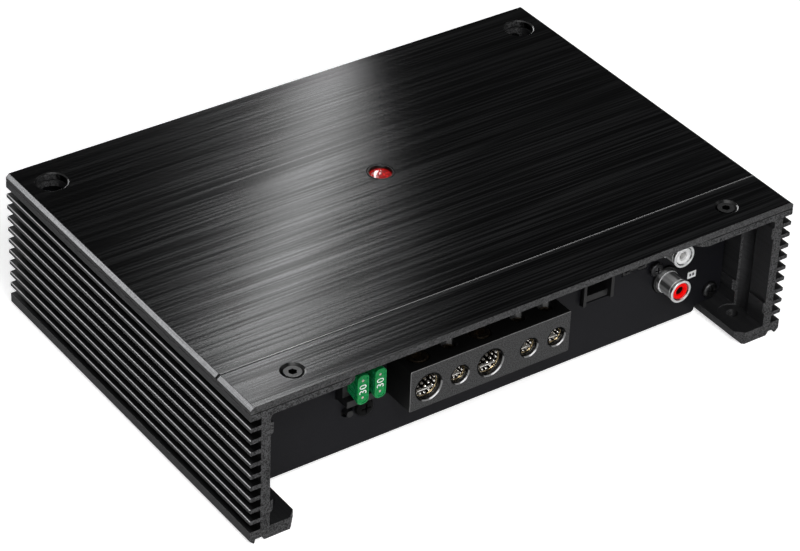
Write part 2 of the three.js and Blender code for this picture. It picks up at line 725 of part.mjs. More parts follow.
function fuseHolder() {
  const { x0, x1 } = holderNose();
  const noseFront = panelFace - HOLDER_PROUD;
  const tail = panelFace + HOLDER_TAIL;
  const margin = HOLDER_FLANGE;
  let body = join(
    box(x0, x1, noseFront, tail, HOLDER_BOTTOM, HOLDER_TOP),
    box(x0, x1, panelFace - LIP_PROUD, noseFront + 1, HOLDER_BOTTOM, HOLDER_BOTTOM + LIP_H),
    box(x0 - margin, x1 + margin, panelBack + GAP, tail, HOLDER_BASE_Z, HOLDER_TOP + margin),
    rodY(PEG.x, PEG.z, PEG.r, panelFace - PEG.proud, tail, 16),
  );
  for (const side of [-1, 1]) {
    const x = FUSE_X + (side * FUSE_PITCH) / 2;
    for (const row of [-1, 1]) {
      const z = FUSE_Z + (row * BLADE_SPACING) / 2;
      const slotW = BLADE_T + 2 * GAP;
      const slotH = BLADE_W + 2 * GAP;
      body = cut(body, block(x, z, slotW, slotH, noseFront - 1, noseFront + BLADE_L + BLADE_END_ROOM));
    }
  }
  const radius = HOLDER_SCREW_SIZE.shank + GAP;
  return cut(body, rodY(HOLDER_SCREW.x, HOLDER_SCREW.z, radius, panelBack, tail + 1));
}

// The insulating body of a blade fuse. Its origin is at the middle of the back of the body.
function fuseBody() {
  const front = -FUSE_BODY_L;
  const h = FUSE_H / 2;
  const profile = shapeOf([
    [front + FUSE_HEAD_T, -h + FUSE_SHOULDER],
    [0, -h + FUSE_TAPER],
    [0, h - FUSE_TAPER],
    [front + FUSE_HEAD_T, h - FUSE_SHOULDER],
  ]);
  const w = FUSE_W / 2;
  const neck = alongX(profile, -w + FUSE_NECK_INSET, w - FUSE_NECK_INSET);
  const head = alongY(roundedRectangle(-w, w, -h, h, w - 0.4), front, front + FUSE_HEAD_T + 0.2);
  const slotH = BLADE_W / 2 + GAP;
  const slotT = BLADE_T / 2 + GAP;
  const pocketFront = front + FUSE_HEAD_T + FUSE_CROWN;
  const outer = BLADE_SPACING / 2 + slotH;
  const pocket = box(-slotT, slotT, pocketFront, 1, -outer, outer);
  return cut(join(neck, head), pocket);
}

// The fuse's metal element: two blades and the link between them, in the same frame as its body.
function fuseElement() {
  const t = BLADE_T / 2;
  const front = -FUSE_BODY_L + FUSE_HEAD_T + FUSE_CROWN + GAP;
  const blade = (row) => {
    const z = (row * BLADE_SPACING) / 2;
    return box(-t, t, front, BLADE_L, z - BLADE_W / 2, z + BLADE_W / 2);
  };
  const link = box(-t, t, front, front + LINK_H, -BLADE_SPACING / 2, BLADE_SPACING / 2);
  return join(blade(-1), blade(1), link);
}

// ---------- RCA inputs ----------
function rcaBody() {
  const tail = panelFace + RCA_BODY_TAIL;
  const z1 = RCA_Z + RCA_SPACING + RCA_COLLAR_R + 2;
  const x0 = RCA_X - RCA_BODY_W / 2;
  let body = box(x0, x0 + RCA_BODY_W, panelBack + GAP, tail, partBase, z1);
  for (const z of [RCA_Z, RCA_Z + RCA_SPACING]) {
    body = join(body, rodY(RCA_X, z, RCA_COLLAR_R, panelFace - RCA_COLLAR_PROUD, panelBack + 1, 24));
    body = cut(body, rodY(RCA_X, z, RCA_R + GAP, panelFace - 2, tail - RCA_POCKET_END, 24));
  }
  const radius = RCA_SCREW_SIZE.shank + GAP;
  return cut(body, rodY(RCA_SCREW.x, RCA_SCREW.z, radius, panelBack, tail + 1, 16));
}

// The outer contact of one jack. Its origin is on its axis at the panel's face.
function rcaBarrel() {
  const back = rcaPocketBack - GAP;
  const profile = [
    [RCA_BORE_R, -RCA_PROUD],
    [RCA_RIM_R, -RCA_PROUD],
    [RCA_RIM_R, -RCA_PROUD + RCA_RIM_L],
    [RCA_R, -RCA_PROUD + RCA_RIM_L + RCA_RIM_SLOPE],
    [RCA_R, back],
    [RCA_BORE_R, back],
    [RCA_BORE_R, -RCA_PROUD],
  ];
  return solid(turned(profile, 24));
}

// The coloured insulator of one jack, with the bore for the plug's pin.
function rcaInsert() {
  const back = rcaPocketBack - GAP;
  const front = -RCA_PROUD + RCA_INSERT_SINK;
  const radius = RCA_BORE_R - GAP;
  const profile = [
    [0, back],
    [0, back - RCA_BLIND],
    [RCA_HOLE_R, back - RCA_BLIND],
    [RCA_HOLE_R, front],
    [radius, front],
    [radius, back],
    [0, back],
  ];
  return solid(turned(profile, 24));
}

// ---------- other sockets ----------
function highLevelSocket() {
  const { x, z, w, h, wall, proud, depth, flange, floor, back } = HIGH_LEVEL;
  const front = panelFace - proud;
  const outerW = w + 2 * wall;
  const tail = panelFace + depth;
  const shell = join(
    block(x, z, outerW, h, front, tail),
    block(x, z, outerW + 2 * flange, h + 2 * flange, panelBack + GAP, tail),
  );
  const x0 = x - w / 2;
  const cavity = box(x0, x0 + w, front - 1, tail - back, z - h / 2 + floor, z + h / 2 - wall);
  const open = box(x0, x0 + w, front - 1, panelFace + GAP, z - h, z + h);
  const { dx, dz, side, h: tongueH, setback } = TONGUE;
  const tongue = block(x + dx, z + dz, w - 2 * side, tongueH, panelFace + setback, tail - 1);
  return join(cut(shell, cavity, open), tongue);
}

// The remote-level socket's keyed outline, grown by a margin, as a solid.
function remoteOutline(margin, y0, y1) {
  const { x, z, w, h, key } = REMOTE;
  const a = w / 2 + margin;
  const b = h / 2 + margin;
  const outline = shapeOf([
    [x - a, z - b + key],
    [x - a + key, z - b + key],
    [x - a + key, z - b],
    [x - key, z - b],
    [x - key, z - b + key * 0.6],
    [x + 1.6 * key, z - b + key * 0.6],
    [x + 1.6 * key, z - b],
    [x + a, z - b],
    [x + a, z + b],
    [x - a, z + b],
  ]);
  return alongY(outline, y0, y1);
}

function remoteSocket() {
  const { x, z, w, h, wall, depth, flange, back } = REMOTE;
  const tail = panelFace + depth;
  const margin = 2 * (wall + flange);
  const shell = join(
    remoteOutline(wall, panelFace - 0.2, tail),
    block(x, z, w + margin, h + margin, panelBack + GAP, tail),
  );
  const { size, pitch, dz, setback } = PIN;
  const pin = (dx) => block(x + dx, z + dz, size, size, panelFace + setback, tail - 1);
  const cavity = remoteOutline(0, panelFace - 1, tail - back);
  return join(cut(shell, cavity), pin(-pitch), pin(0), pin(pitch));
}

// ---------- controls ----------
// A potentiometer. Its origin is on the shaft's axis at the panel's face.
function potentiometer() {
  const bodyFront = PANEL_T + GAP;
  return join(
    box(-POT_W / 2, POT_W / 2, bodyFront, bodyFront + POT_T, -POT_W / 2, POT_W / 2),
    rodY(0, 0, BUSH_R, -0.3, bodyFront + 1, 14),
    rodY(0, 0, SHAFT_R, -KNOB_STANDOFF - SHAFT_GRIP, bodyFront + 1, 12),
  );
}

function controlKnob() {
  const back = -KNOB_STANDOFF;
  const front = back - KNOB_L;
  const profile = [
    [0, front],
    [KNOB_R - 0.6, front],
    [KNOB_R - 0.2, front + 0.4],
    [KNOB_R, back],
    [0, back],
  ];
  return cut(
    solid(turned(profile)),
    rodY(0, 0, SHAFT_R + GAP, front + KNOB_FACE_T, back + 1, 12),
    box(-POINTER.w / 2, POINTER.w / 2, front - 1, front + POINTER.depth, -0.2, KNOB_R + 1),
  );
}

function switchBody() {
  const { x, z, w, h, t, slotW, lever, back } = SWITCH;
  const y0 = panelBack + GAP;
  const channel = block(x, z, slotW + 0.2, lever + 2 * GAP, y0 - 1, y0 + t - back);
  return cut(block(x, z, w, h, y0, y0 + t), channel);
}

// The slide switch's lever, at the left end of its travel.
function switchLever() {
  const { x, z, t, lever, travel, back, proud } = SWITCH;
  return block(x - travel / 2, z, lever, lever, panelFace - proud, panelBack + t - back);
}

// ---------- indicator ----------
function indicatorLens() {
  const top = HEIGHT - LENS_SINK;
  const profile = [
    [0, lensBottom],
    [LENS_SKIRT_R, lensBottom],
    [LENS_SKIRT_R, top - LENS_RIM_T],
    [LENS_R, top - LENS_RIM_T],
    [LENS_R, top - 0.15],
    [LENS_R - LENS_CHAMFER, top],
    [0, top],
  ];
  return solid(upright(turned(profile, 20)).translate(0, LENS_Y, 0));
}

function indicatorLed() {
  const top = lensBottom - GAP;
  const profile = [
    [0, partBase],
    [1.2, partBase],
    [1.2, top - 5],
    [1.9, top - 5],
    [1.9, top - 4.2],
    [1.5, top - 4.2],
    [1.5, top - 1],
    [0.9, top],
    [0, top],
  ];
  return solid(upright(turned(profile, 10)).translate(0, LENS_Y, 0));
}

// ---------- electronics ----------
function circuitBoard() {
  const side = wallInner - PCB_EDGE;
  return box(-side, side, boardFront, boardBack, PCB_Z, pcbTop);
}

function controlBoard() {
  const y0 = panelBack + GAP + POT_T + GAP;
  const x0 = KNOBS[0].x - POT_W / 2 - 1.5;
  const x1 = KNOBS[KNOBS.length - 1].x + POT_W / 2 + 1.5;
  return box(x0, x1, y0, y0 + PCB_T, partBase, KNOB_Z + POT_W / 2 + 1);
}

const TOROID = { x: -48, y: 12, ring: 13.5, tube: 6.4 };
const INDUCTOR = { x: 52, y: 4, w: 30, d: 28, h: 20 };
const CAPACITOR_R = 8;
const CAPACITORS = [
  { name: "left", x: -60, y: -22 },
  { name: "centre", x: -40, y: -22 },
  { name: "right", x: -20, y: -22 },
];

// A wound ring core, standing flat on the board.
function powerToroid() {
  const { x, y, ring, tube } = TOROID;
  const centre = partBase + tube;
  const profile = [];
  const sides = 8;
  for (let i = 0; i <= sides; i++) {
    const angle = (2 * Math.PI * i) / sides;
    profile.push([ring + tube * Math.cos(angle), centre + tube * Math.sin(angle)]);
  }
  profile[sides] = profile[0];
  return solid(upright(turned(profile, 20)).translate(x, y, 0));
}

// The output filter's shielded coil: a square core with a round winding showing on top.
function outputInductor() {
  const { x, y, w, d, h } = INDUCTOR;
  const top = partBase + h;
  const outline = roundedRectangle(x - w / 2, x + w / 2, y - d / 2, y + d / 2, 3);
  return join(alongZ(outline, partBase, top, 3), rodZ(x, y, d / 2 - 3, top - 1, top + 1.2, 20));
}

function capacitor({ x, y }) {
  const base = partBase;
  const top = webBottom - HEADROOM;
  const profile = [
    [0, base],
    [CAPACITOR_R, base],
    [CAPACITOR_R, base + 2.4],
    [CAPACITOR_R - 0.5, base + 3],
    [CAPACITOR_R, base + 3.6],
    [CAPACITOR_R, top - 0.7],
    [CAPACITOR_R - 0.7, top],
    [0, top],
  ];
  return solid(upright(turned(profile)).translate(x, y, 0));
}

// A power transistor on its edge against the right-hand wall. Its origin is at the wall, on the board.
const TRANSISTOR = { w: 15.6, h: 20, t: 4.8, lift: 4 };
function powerTransistor() {
  const { w, h, t, lift } = TRANSISTOR;
  const body = box(-t, 0, -w / 2, w / 2, lift, lift + h);
  const leg = (y) => box(-2.6, -2, y - 0.6, y + 0.6, 0, lift + 1);
  return join(cut(body, transistorHole(t, lift + h - 4.5)), leg(-5), leg(0), leg(5));
}

function transistorHole(t, z) {
  const rod = turned([[0, -t - 1], [1.8, -t - 1], [1.8, 1], [0, 1]], 16);
  return solid(rod.rotateZ(-Math.PI / 2).translate(0, 0, z));
}

// A spring-steel bar that presses one side's transistors against the wall.
function clampBar(y0, y1) {
  const outline = shapeOf([
    [0, 0],
    [-1.2, -0.6],
    [-1.2, -8.6],
    [0, -8],
  ]);
  return alongY(outline, y0, y1);
}

// ---------- the assembly ----------
const amplifier = new THREE.Group();
amplifier.name = "car_amplifier";

function add(parent, name, manifold, material, x = 0, y = 0, z = 0) {
  const mesh = new THREE.Mesh(geometryOf(manifold), material.clone());
  mesh.name = name;
  mesh.position.set(x, y, z);
  parent.add(mesh);
  return mesh;
}

function addHousing() {
  add(amplifier, "heatsink_extrusion", heatsinkExtrusion(), ANODISED);
  add(amplifier, "top_cover_plate", topCoverPlate(), BRUSHED_BLACK);
  add(amplifier, "front_panel", frontPanel(), PANEL_BLACK);
  add(amplifier, "rear_panel", rearPanel(), PANEL_BLACK);
  add(amplifier, "bottom_cover", bottomCover(), PANEL_BLACK);
  for (const [label, side] of [["left", -1], ["right", 1]]) {
    const x = side * panelScrewX;
    const front = add(amplifier, `panel_screw_front_${label}`, panScrew(PANEL_SCREW), STEEL_BLACK);
    front.position.set(x, panelFace - GAP, PANEL_SCREW_Z);
    const rear = add(amplifier, `panel_screw_rear_${label}`, panScrew(PANEL_SCREW), STEEL_BLACK);
    rear.position.set(x, rearFace + GAP, PANEL_SCREW_Z);
    rear.rotation.z = Math.PI;
  }
}

function addTerminalCover() {
  const cover = new THREE.Group();
  amplifier.add(cover);
  add(cover, "terminal_cover", terminalCover(), BRUSHED_BLACK);
  for (const [label, side] of [["left", -1], ["right", 1]]) {
    const screw = add(cover, `cover_screw_${label}`, coverScrew(), STEEL_BLACK);
    screw.position.set(side * coverScrewX, coverScrewY, HEIGHT - COVER_SCREW_SINK);
  }
}

function addTerminals() {
  add(amplifier, "terminal_block", terminalBlock(), PLASTIC_BLACK);
  const contactY = blockFront + BORE_LEAD + GAP;
  for (const { name, x, size } of TERMINALS) {
    add(amplifier, `${name}_contact`, terminalContact(size), NICKEL, x, contactY, BORE_Z);
    const screw = add(amplifier, `${name}_set_screw`, setScrew(size), STEEL);
    const top = BORE_Z + size.bore + GAP + size.screwL;
    screw.position.set(x, blockFront + SET_SCREW_SETBACK, top);
  }
}

function addFuses() {
  add(amplifier, "fuse_holder", fuseHolder(), PLASTIC_BLACK);
  const { x, z } = HOLDER_SCREW;
  add(amplifier, "fuse_holder_screw", panScrew(HOLDER_SCREW_SIZE), STEEL_BLACK, x, panelFace - GAP, z);
  for (const [label, side] of [["left", -1], ["right", 1]]) {
    const fuse = new THREE.Group();
    fuse.position.set(FUSE_X + (side * FUSE_PITCH) / 2, panelFace - HOLDER_PROUD - GAP, FUSE_Z);
    amplifier.add(fuse);
    add(fuse, `fuse_${label}`, fuseBody(), FUSE_GREEN);
    add(fuse, `fuse_${label}_element`, fuseElement(), STEEL);
  }
}

function addInputs() {
  add(amplifier, "rca_body", rcaBody(), PLASTIC_BLACK);
  const { x, z: screwZ } = RCA_SCREW;
  add(amplifier, "rca_screw", panScrew(RCA_SCREW_SIZE), STEEL_BLACK, x, panelFace - GAP, screwZ);
  const jacks = [
    { label: "lower", z: RCA_Z, colour: RCA_RED },
    { label: "upper", z: RCA_Z + RCA_SPACING, colour: RCA_WHITE },
  ];
  for (const { label, z, colour } of jacks) {
    add(amplifier, `rca_barrel_${label}`, rcaBarrel(), NICKEL, RCA_X, panelFace, z);
    add(amplifier, `rca_insert_${label}`, rcaInsert(), colour, RCA_X, panelFace, z);
  }
  add(amplifier, "high_level_socket", highLevelSocket(), PLASTIC_BLACK);
  add(amplifier, "remote_socket", remoteSocket(), PLASTIC_BLACK);
}

function addControls() {
  add(amplifier, "control_board", controlBoard(), BOARD_GREEN);
  for (const { name, x } of KNOBS) {
    add(amplifier, `${name}_pot`, potentiometer(), STEEL, x, panelFace, KNOB_Z);
    add(amplifier, `${name}_knob`, controlKnob(), PLASTIC_BLACK, x, panelFace, KNOB_Z);
  }
  add(amplifier, "phase_switch_body", switchBody(), STEEL);
  add(amplifier, "phase_switch_lever", switchLever(), PLASTIC_BLACK);
  add(amplifier, "indicator_lens", indicatorLens(), LENS_RED);
  add(amplifier, "indicator_led", indicatorLed(), RCA_WHITE);
}

function addElectronics() {
  add(amplifier, "circuit_board", circuitBoard(), BOARD_GREEN);
  add(amplifier, "power_toroid", powerToroid(), COPPER);
  add(amplifier, "output_inductor", outputInductor(), PACKAGE);
  for (const part of CAPACITORS) {
    add(amplifier, `capacitor_${part.name}`, capacitor(part), SLEEVE);
  }
  const wall = wallInner - GAP;
  for (const [label, side] of [["left", -1], ["right", 1]]) {
    const bank = new THREE.Group();
    bank.position.set(side * wall, 0, partBase);
    bank.rotation.z = side < 0 ? Math.PI : 0;
    amplifier.add(bank);
    add(bank, `transistor_${label}_front`, powerTransistor(), PACKAGE, 0, -side * 12, 0);
    add(bank, `transistor_${label}_rear`, powerTransistor(), PACKAGE, 0, side * 12, 0);
    const barZ = TRANSISTOR.lift + TRANSISTOR.h - 8;
    add(bank, `clamp_bar_${label}`, clampBar(-24, 24), STEEL, -TRANSISTOR.t - GAP, 0, barZ);
  }
}

addHousing();
addTerminalCover();
addTerminals();
addFuses();
addInputs();
addControls();
addElectronics();

export default amplifier;
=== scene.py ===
"""Looks for a compact car amplifier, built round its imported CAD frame.

Everything is in metres in the frame's own axes: +X over the width, -Y towards the connectors, +Z up.
New shapes are drawn in millimetres and scaled once, in piece().
"""

import math

import bmesh
import bpy
from mathutils import Matrix, Vector


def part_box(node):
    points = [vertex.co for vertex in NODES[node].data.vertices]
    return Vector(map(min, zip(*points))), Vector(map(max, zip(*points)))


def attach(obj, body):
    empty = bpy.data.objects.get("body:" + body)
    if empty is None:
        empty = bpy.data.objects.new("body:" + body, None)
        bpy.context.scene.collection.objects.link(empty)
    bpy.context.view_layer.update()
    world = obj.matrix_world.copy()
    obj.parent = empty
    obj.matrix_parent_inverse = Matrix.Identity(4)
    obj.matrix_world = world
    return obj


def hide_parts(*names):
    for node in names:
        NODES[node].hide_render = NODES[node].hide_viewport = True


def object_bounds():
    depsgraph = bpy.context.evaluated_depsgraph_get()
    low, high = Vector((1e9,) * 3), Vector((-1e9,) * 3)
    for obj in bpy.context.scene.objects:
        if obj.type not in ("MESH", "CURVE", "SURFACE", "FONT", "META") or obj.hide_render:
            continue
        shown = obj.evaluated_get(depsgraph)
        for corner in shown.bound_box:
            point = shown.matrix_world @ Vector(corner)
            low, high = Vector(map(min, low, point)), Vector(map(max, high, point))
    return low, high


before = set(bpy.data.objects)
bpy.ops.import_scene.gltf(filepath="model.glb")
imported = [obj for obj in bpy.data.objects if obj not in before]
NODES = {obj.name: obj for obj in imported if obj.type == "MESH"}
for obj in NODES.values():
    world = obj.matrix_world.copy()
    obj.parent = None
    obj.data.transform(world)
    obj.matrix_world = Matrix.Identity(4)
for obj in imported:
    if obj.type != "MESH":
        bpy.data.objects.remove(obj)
cad_low, cad_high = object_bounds()
MM = 0.001

# ---------- camera and light ----------
CAMERA_AZIMUTH = -35.98
CAMERA_ELEVATION = 34.84
CAMERA_ROLL = 2.33
CAMERA_DISTANCE = 1.1026
CAMERA_AIM_HEIGHT = 0.0222
CAMERA_PAN = (0.001035, -0.003327)
CAMERA_LENS = 141.4
SENSOR = 36.0

BAND_BACK = (15, 72)  # where the strip light's reflection crosses the plate's back edge, in millimetres
BAND_FRONT = (-104, -72)  # and its front left corner
BAND_DISTANCE = 0.9  # metres from the plate
BAND_WIDTH = 0.03
BAND_OVERRUN = 0.35  # past the front end, as a share of its length
BAND_POWER = 0.45

# ---------- the plate's painted shade, in metres, and the directions the materials ask about ---
SHADE_SLOPE = 0.83  # how far the line past which the back left corner darkens goes right for each metre back
SHADE_MIDDLE = -0.045  # where that line crosses the plate's middle
UP = (0, 0, 1)
ACROSS = (1, 0, 0)
BACK = (0, 1, 0)
FRONT = (0, -1, 0)

# ---------- sizes of the finer pieces, in millimetres ----------
SKIN = 0.02  # how far printed ink stands off its surface
SEAM_EDGE = -58.4  # the cover plate's front edge
PLATE_SIDE = 0.005  # the width of the plate's side strip that holds its bevel, in metres
PANEL_FACE = -55.9
PANEL_SCREW = {"head": 3.1, "height": 1.7, "shank": 1.5, "pitch": 0.8}
HOLDER_SCREW = {"head": 3.5, "height": 2.0, "shank": 1.6, "pitch": 0.8}
RCA_SCREW = {"head": 2.7, "height": 1.8, "shank": 1.4, "pitch": 0.8}
COVER_SCREW = {"head": 3.15, "height": 1.8, "shank": 1.6, "pitch": 0.7, "hex": 2.7, "socket": 1.3}
# a terminal's radii and half width, its grip's half angle in degrees and pitch, its bar's depth in radii
BIG_TERMINAL = {"bore": 4.6, "mouth": 5.2, "half": 5.7, "screw": 3.9, "wrap": 116, "pitch": 1.9, "bar": 0.58}
SMALL_TERMINAL = {
    "bore": 3.05,
    "mouth": 3.55,
    "half": 4.2,
    "screw": 2.4,
    "wrap": 88,
    "pitch": 1.5,
    "bar": 0.54,
}
TERMINALS = {
    "ground": BIG_TERMINAL,
    "remote": SMALL_TERMINAL,
    "supply": BIG_TERMINAL,
    "speaker_negative": SMALL_TERMINAL,
    "speaker_positive": SMALL_TERMINAL,
}
FLANGE_WIDTH = 2.5  # of the terminal block, round its front part
GAP = 0.3  # between pieces that only stand next to each other
BORE_LEAD = 1.6  # from the block's face to the contacts
GRIP_LENGTH = 13.5
GRIP_FLOOR = 0.14  # how far the grip's grooves stand inside the bore
GRIP_TOOTH = 0.45
BAR_THICKNESS = 0.6
SET_SCREW_PITCH = 0.75
FUSE_HEAD = 1.3
FUSE_RIM = 0.22  # the rounding of its edge, and the depth of the dish inside it
FUSE_TAPER = 1.7
FUSE_SHOULDER = 0.35  # how much narrower than the head its body is, on each side
FUSE_RIB = 2.2  # from the middle to each rib
FUSE_RIB_HEIGHT = 0.12
FUSE_TEST_POINT = 3.4  # from the middle
FUSE_NUMERAL = 2.75  # high
NUMERAL_DEPTH = 0.02
RCA_SHELL = 4.16  # radii
RCA_BORE = 3.5
RCA_PIN_HOLE = 1.75
KNOB_FLUTES = 22
FLUTE_DEPTH = 0.28
KNOB_BORE = 1.8
FIN_DEPTH = 4.1  # from the fins' tips to the wall between them
TICKS = 11
TICK_STEP = 28  # degrees
TICK_HALF_WIDTH = 0.12
TICK_START = 3.9  # radii
TICK_END = 4.5
LONG_TICK_END = 5.0
SWITCH_DOT = 0.35
SWITCH_DOT_DROP = 2.2  # below the switch's middle
LABEL_FROM_JACK = (12.6, -2.75)  # its middle, to the right and up
LABEL_HALF = (1.9, 1.4)
LABEL_MARK_HALF = (0.4, 0.55)
LABEL_MARK_OFFSET = 0.65
LENS_SKIRT = 3.2
BEZEL_BORE = 4.0
BEZEL_RIM = 4.85


# ---------- node trees ----------
class Paint:
    """The node tree that is being worked on, and the shader in it."""

    tree = None
    shader = None


def work_on(tree, shader_name):
    Paint.tree = tree
    Paint.shader = tree.nodes[shader_name]


def node(kind, inputs=None, **settings):
    """A shader node with its settings, whose inputs are linked to a socket or set to a value."""
    made = Paint.tree.nodes.new("ShaderNode" + kind)
    for key, value in settings.items():
        setattr(made, key, value)
    for key, value in (inputs or {}).items():
        if isinstance(value, bpy.types.NodeSocket):
            Paint.tree.links.new(value, made.inputs[key])
        else:
            made.inputs[key].default_value = value
    return made


def link(value, socket):
    """Links a value to a socket of the shader that is being worked on."""
    Paint.tree.links.new(value, Paint.shader.inputs[socket])


def start_material(name, **constants):
    """A new material to work on, with its Principled shader's constant sockets set."""
    made = bpy.data.materials.new(name)
    made.use_nodes = True
    work_on(made.node_tree, "Principled BSDF")
    for key, value in constants.items():
        Paint.shader.inputs[key.replace("_", " ")].default_value = value
    return made


def surface(colour, roughness, height, distance, strength=1.0):
    """Links the shader's colour and roughness, and bumps it by a height over a distance in metres."""
    link(colour, "Base Color")
    if isinstance(roughness, bpy.types.NodeSocket):
        link(roughness, "Roughness")
    else:
        Paint.shader.inputs["Roughness"].default_value = roughness
    inputs = {"Height": height, "Distance": distance, "Strength": strength}
    link(node("Bump", inputs).outputs["Normal"], "Normal")


def place(stretch=(1, 1, 1)):
    """The piece's own coordinates in metres, times a stretch along each axis."""
    coordinates = node("TexCoord").outputs["Object"]
    return node("Mapping", {"Vector": coordinates, "Scale": stretch}).outputs["Vector"]


def coordinate(axis):
    """One of the piece's own coordinates, in metres."""
    return node("SeparateXYZ", {"Vector": place()}).outputs[axis]


def noise(size, stretch=(1, 1, 1), detail=3.0, roughness=0.55):
    """Noise from 0 to 1 whose features are about size metres across, before the stretch."""
    inputs = {
        "Vector": place(stretch),
        "Scale": 1 / size,
        "Detail": detail,
        "Roughness": roughness,
    }
    return node("TexNoise", inputs).outputs["Fac"]


def remap(value, low, high, to_low, to_high):
    inputs = {"Value": value, "From Min": low, "From Max": high, "To Min": to_low, "To Max": to_high}
    return node("MapRange", inputs).outputs["Result"]


def spread(value, to_low, to_high):
    """The middle of a noise's range remapped, so that it reaches both ends."""
    return remap(value, 0.3, 0.7, to_low, to_high)


def mask_to(mask, at_zero, at_one):
    return remap(mask, 0, 1, at_zero, at_one)


def math_node(operation, *values):
    """One operation applied to several values in turn."""
    total = values[0]
    for value in values[1:]:
        total = node("Math", {0: total, 1: value}, operation=operation).outputs[0]
    return total


def math_of_one(operation, value):
    return node("Math", {0: value}, operation=operation).outputs[0]


def times(*values):
    return math_node("MULTIPLY", *values)


def plus(*values):
    return math_node("ADD", *values)


def largest(*values):
    return math_node("MAXIMUM", *values)


def inverted(mask):
    return math_node("SUBTRACT", 1.0, mask)


def grey(level):
    return (level, level, level)


def blend_colour(factor, first, second):
    """The first colour where the factor is 0 and the second where it is 1."""
    inputs = {0: factor}
    for index, colour in ((6, first), (7, second)):
        inputs[index] = (*colour, 1) if isinstance(colour, tuple) else colour
    return node("Mix", inputs, data_type="RGBA").outputs[2]


def layered(colour, *layers):
    """A colour with others laid over it in turn, each where its mask is 1."""
    for mask, over in layers:
        colour = blend_colour(mask, colour, over)
    return colour


def cosine(direction):
    """The cosine of the angle between the surface's normal and a direction."""
    normal = node("NewGeometry").outputs["True Normal"]
    return node("VectorMath", {0: normal, 1: direction}, operation="DOT_PRODUCT").outputs["Value"]


def facing(direction, low=0.5, high=0.8):
    """1 where the surface faces a direction, fading to 0 between the two cosines."""
    return remap(cosine(direction), low, high, 0, 1)


def either_way(direction, low=0.5, high=0.8):
    """1 where the surface faces a direction or its opposite."""
    return remap(math_of_one("ABSOLUTE", cosine(direction)), low, high, 0, 1)


def beyond(axis, limit, fade):
    """1 where the size of one coordinate is past a limit, over a fade, in metres."""
    return remap(math_of_one("ABSOLUTE", coordinate(axis)), limit, limit + fade, 0, 1)


def near(axis, place_at, reach):
    """1 where one coordinate is within a reach of a place, in metres."""
    away = math_of_one("ABSOLUTE", math_node("SUBTRACT", coordinate(axis), place_at))
    return remap(away, reach * 0.8, reach * 1.2, 1, 0)


def saw_grit(size=0.0005, low=0.38, high=0.62):
    """The salt-and-pepper grain of a saw-cut or spark-eroded face, from 0 to 1."""
    return remap(noise(size, detail=2, roughness=0.8), low, high, 0, 1)


# ---------- materials ----------
def plate_back_shade():
    """Painted shade on the plate: darker towards the back and towards the back left corner, trimming the band
    light's reflection.
    """
    across, along = coordinate("X"), coordinate("Y")
    backward = remap(along, -0.03, 0.05, 1, 0.62)
    corner_line = plus(times(along, SHADE_SLOPE), SHADE_MIDDLE)
    leftward = remap(math_node("SUBTRACT", across, corner_line), -0.07, -0.01, 0.35, 1)
    return times(backward, leftward)


def plate_streaks(fine):
    """The plate's brush marks along X, around 1, from a fine noise, a broad one and a slow cloud."""
    broad = noise(0.0022, (0.009, 1, 1))
    cloud = noise(0.03)
    return times(
        remap(fine, 0.38, 0.62, 0.35, 1.65),
        spread(broad, 0.86, 1.14),
        spread(cloud, 0.95, 1.05),
    )


def plate_bevel():
    """1 on the cut bevels along the plate's left and right sides."""
    sloping = times(either_way(ACROSS, 0.35, 0.5), facing(UP, 0.35, 0.5))
    return times(sloping, beyond("X", cad_high.x - PLATE_SIDE, 0.0005))


def plate_seam_highlight():
    """Painted highlight: 1 along the edge of the plate at the terminal cover, fading towards the left."""
    seam_highlight = times(near("Y", SEAM_EDGE * MM, 0.0002), facing(UP, 0.2, 0.4))
    return times(seam_highlight, remap(coordinate("X"), -0.1, -0.04, 0.1, 1))


def brushed_black():
    """Black anodised aluminium, brushed along X, with bright cut bevels at the sides, painted shade in the
    countersinks and hole chamfers, and painted highlights on their near rims and along the edge at the
    terminal cover.
    """
    made = start_material("brushed_black", Anisotropic=0.8)
    fine = noise(0.0007, (0.01, 1, 1), detail=2, roughness=0.6)
    streaks = plate_streaks(fine)
    # brush streaks under the painted shade, darker towards the back and the back left corner
    shaded_streaks = remap(times(streaks, plate_back_shade()), 0.0, 2.2, 0, 1)
    ends = either_way(BACK)
    bevel = plate_bevel()
    # painted highlight: a light line along the plate's edge at the terminal cover
    seam_highlight = plate_seam_highlight()
    notch = times(near("Y", (SEAM_EDGE + 0.1) * MM, 0.0006), bevel)
    flat = facing(UP, 0.9, 0.97)
    # painted shade: the plate's sloping countersinks and hole chamfers made near black
    cone = times(facing(UP, 0.2, 0.4), inverted(flat), inverted(bevel))
    # painted highlight: a bright crescent on the near side of the countersinks' outer rim
    lip = times(cone, near("Z", cad_high.z, 0.00045), facing((-0.3, 0.95, 0), 0.35, 0.55))
    side = spread(noise(0.0006, (1, 0.02, 1)), 0, 1)
    colour = layered(
        blend_colour(shaded_streaks, (0.001, 0.001, 0.0012), (0.07, 0.071, 0.072)),
        (ends, blend_colour(saw_grit(), grey(0.002), (0.076, 0.076, 0.078))),
        (seam_highlight, grey(0.4)),
        (cone, grey(0.002)),
        (lip, grey(0.9)),
        (bevel, blend_colour(side, (0.24, 0.24, 0.245), (0.36, 0.36, 0.37))),
        (notch, grey(0.003)),
    )
    # dull, not metallic, where the painted shade and highlights sit, on the saw-cut ends and on a few streaks
    painted = largest(cone, seam_highlight, ends, remap(fine, 0.48, 0.62, 0, 0.16))
    link(mask_to(painted, 1, 0.1), "Metallic")
    rough = plus(
        remap(streaks, 0.6, 1.4, 0.14, 0.17),
        mask_to(largest(cone, ends), 0, 0.3),
        mask_to(bevel, 0, 0.05),
    )
    link(node("CombineXYZ", {"X": 0.02, "Y": 1.0, "Z": 0.05}).outputs[0], "Tangent")
    surface(colour, rough, times(fine, flat), 0.000002)
    return made


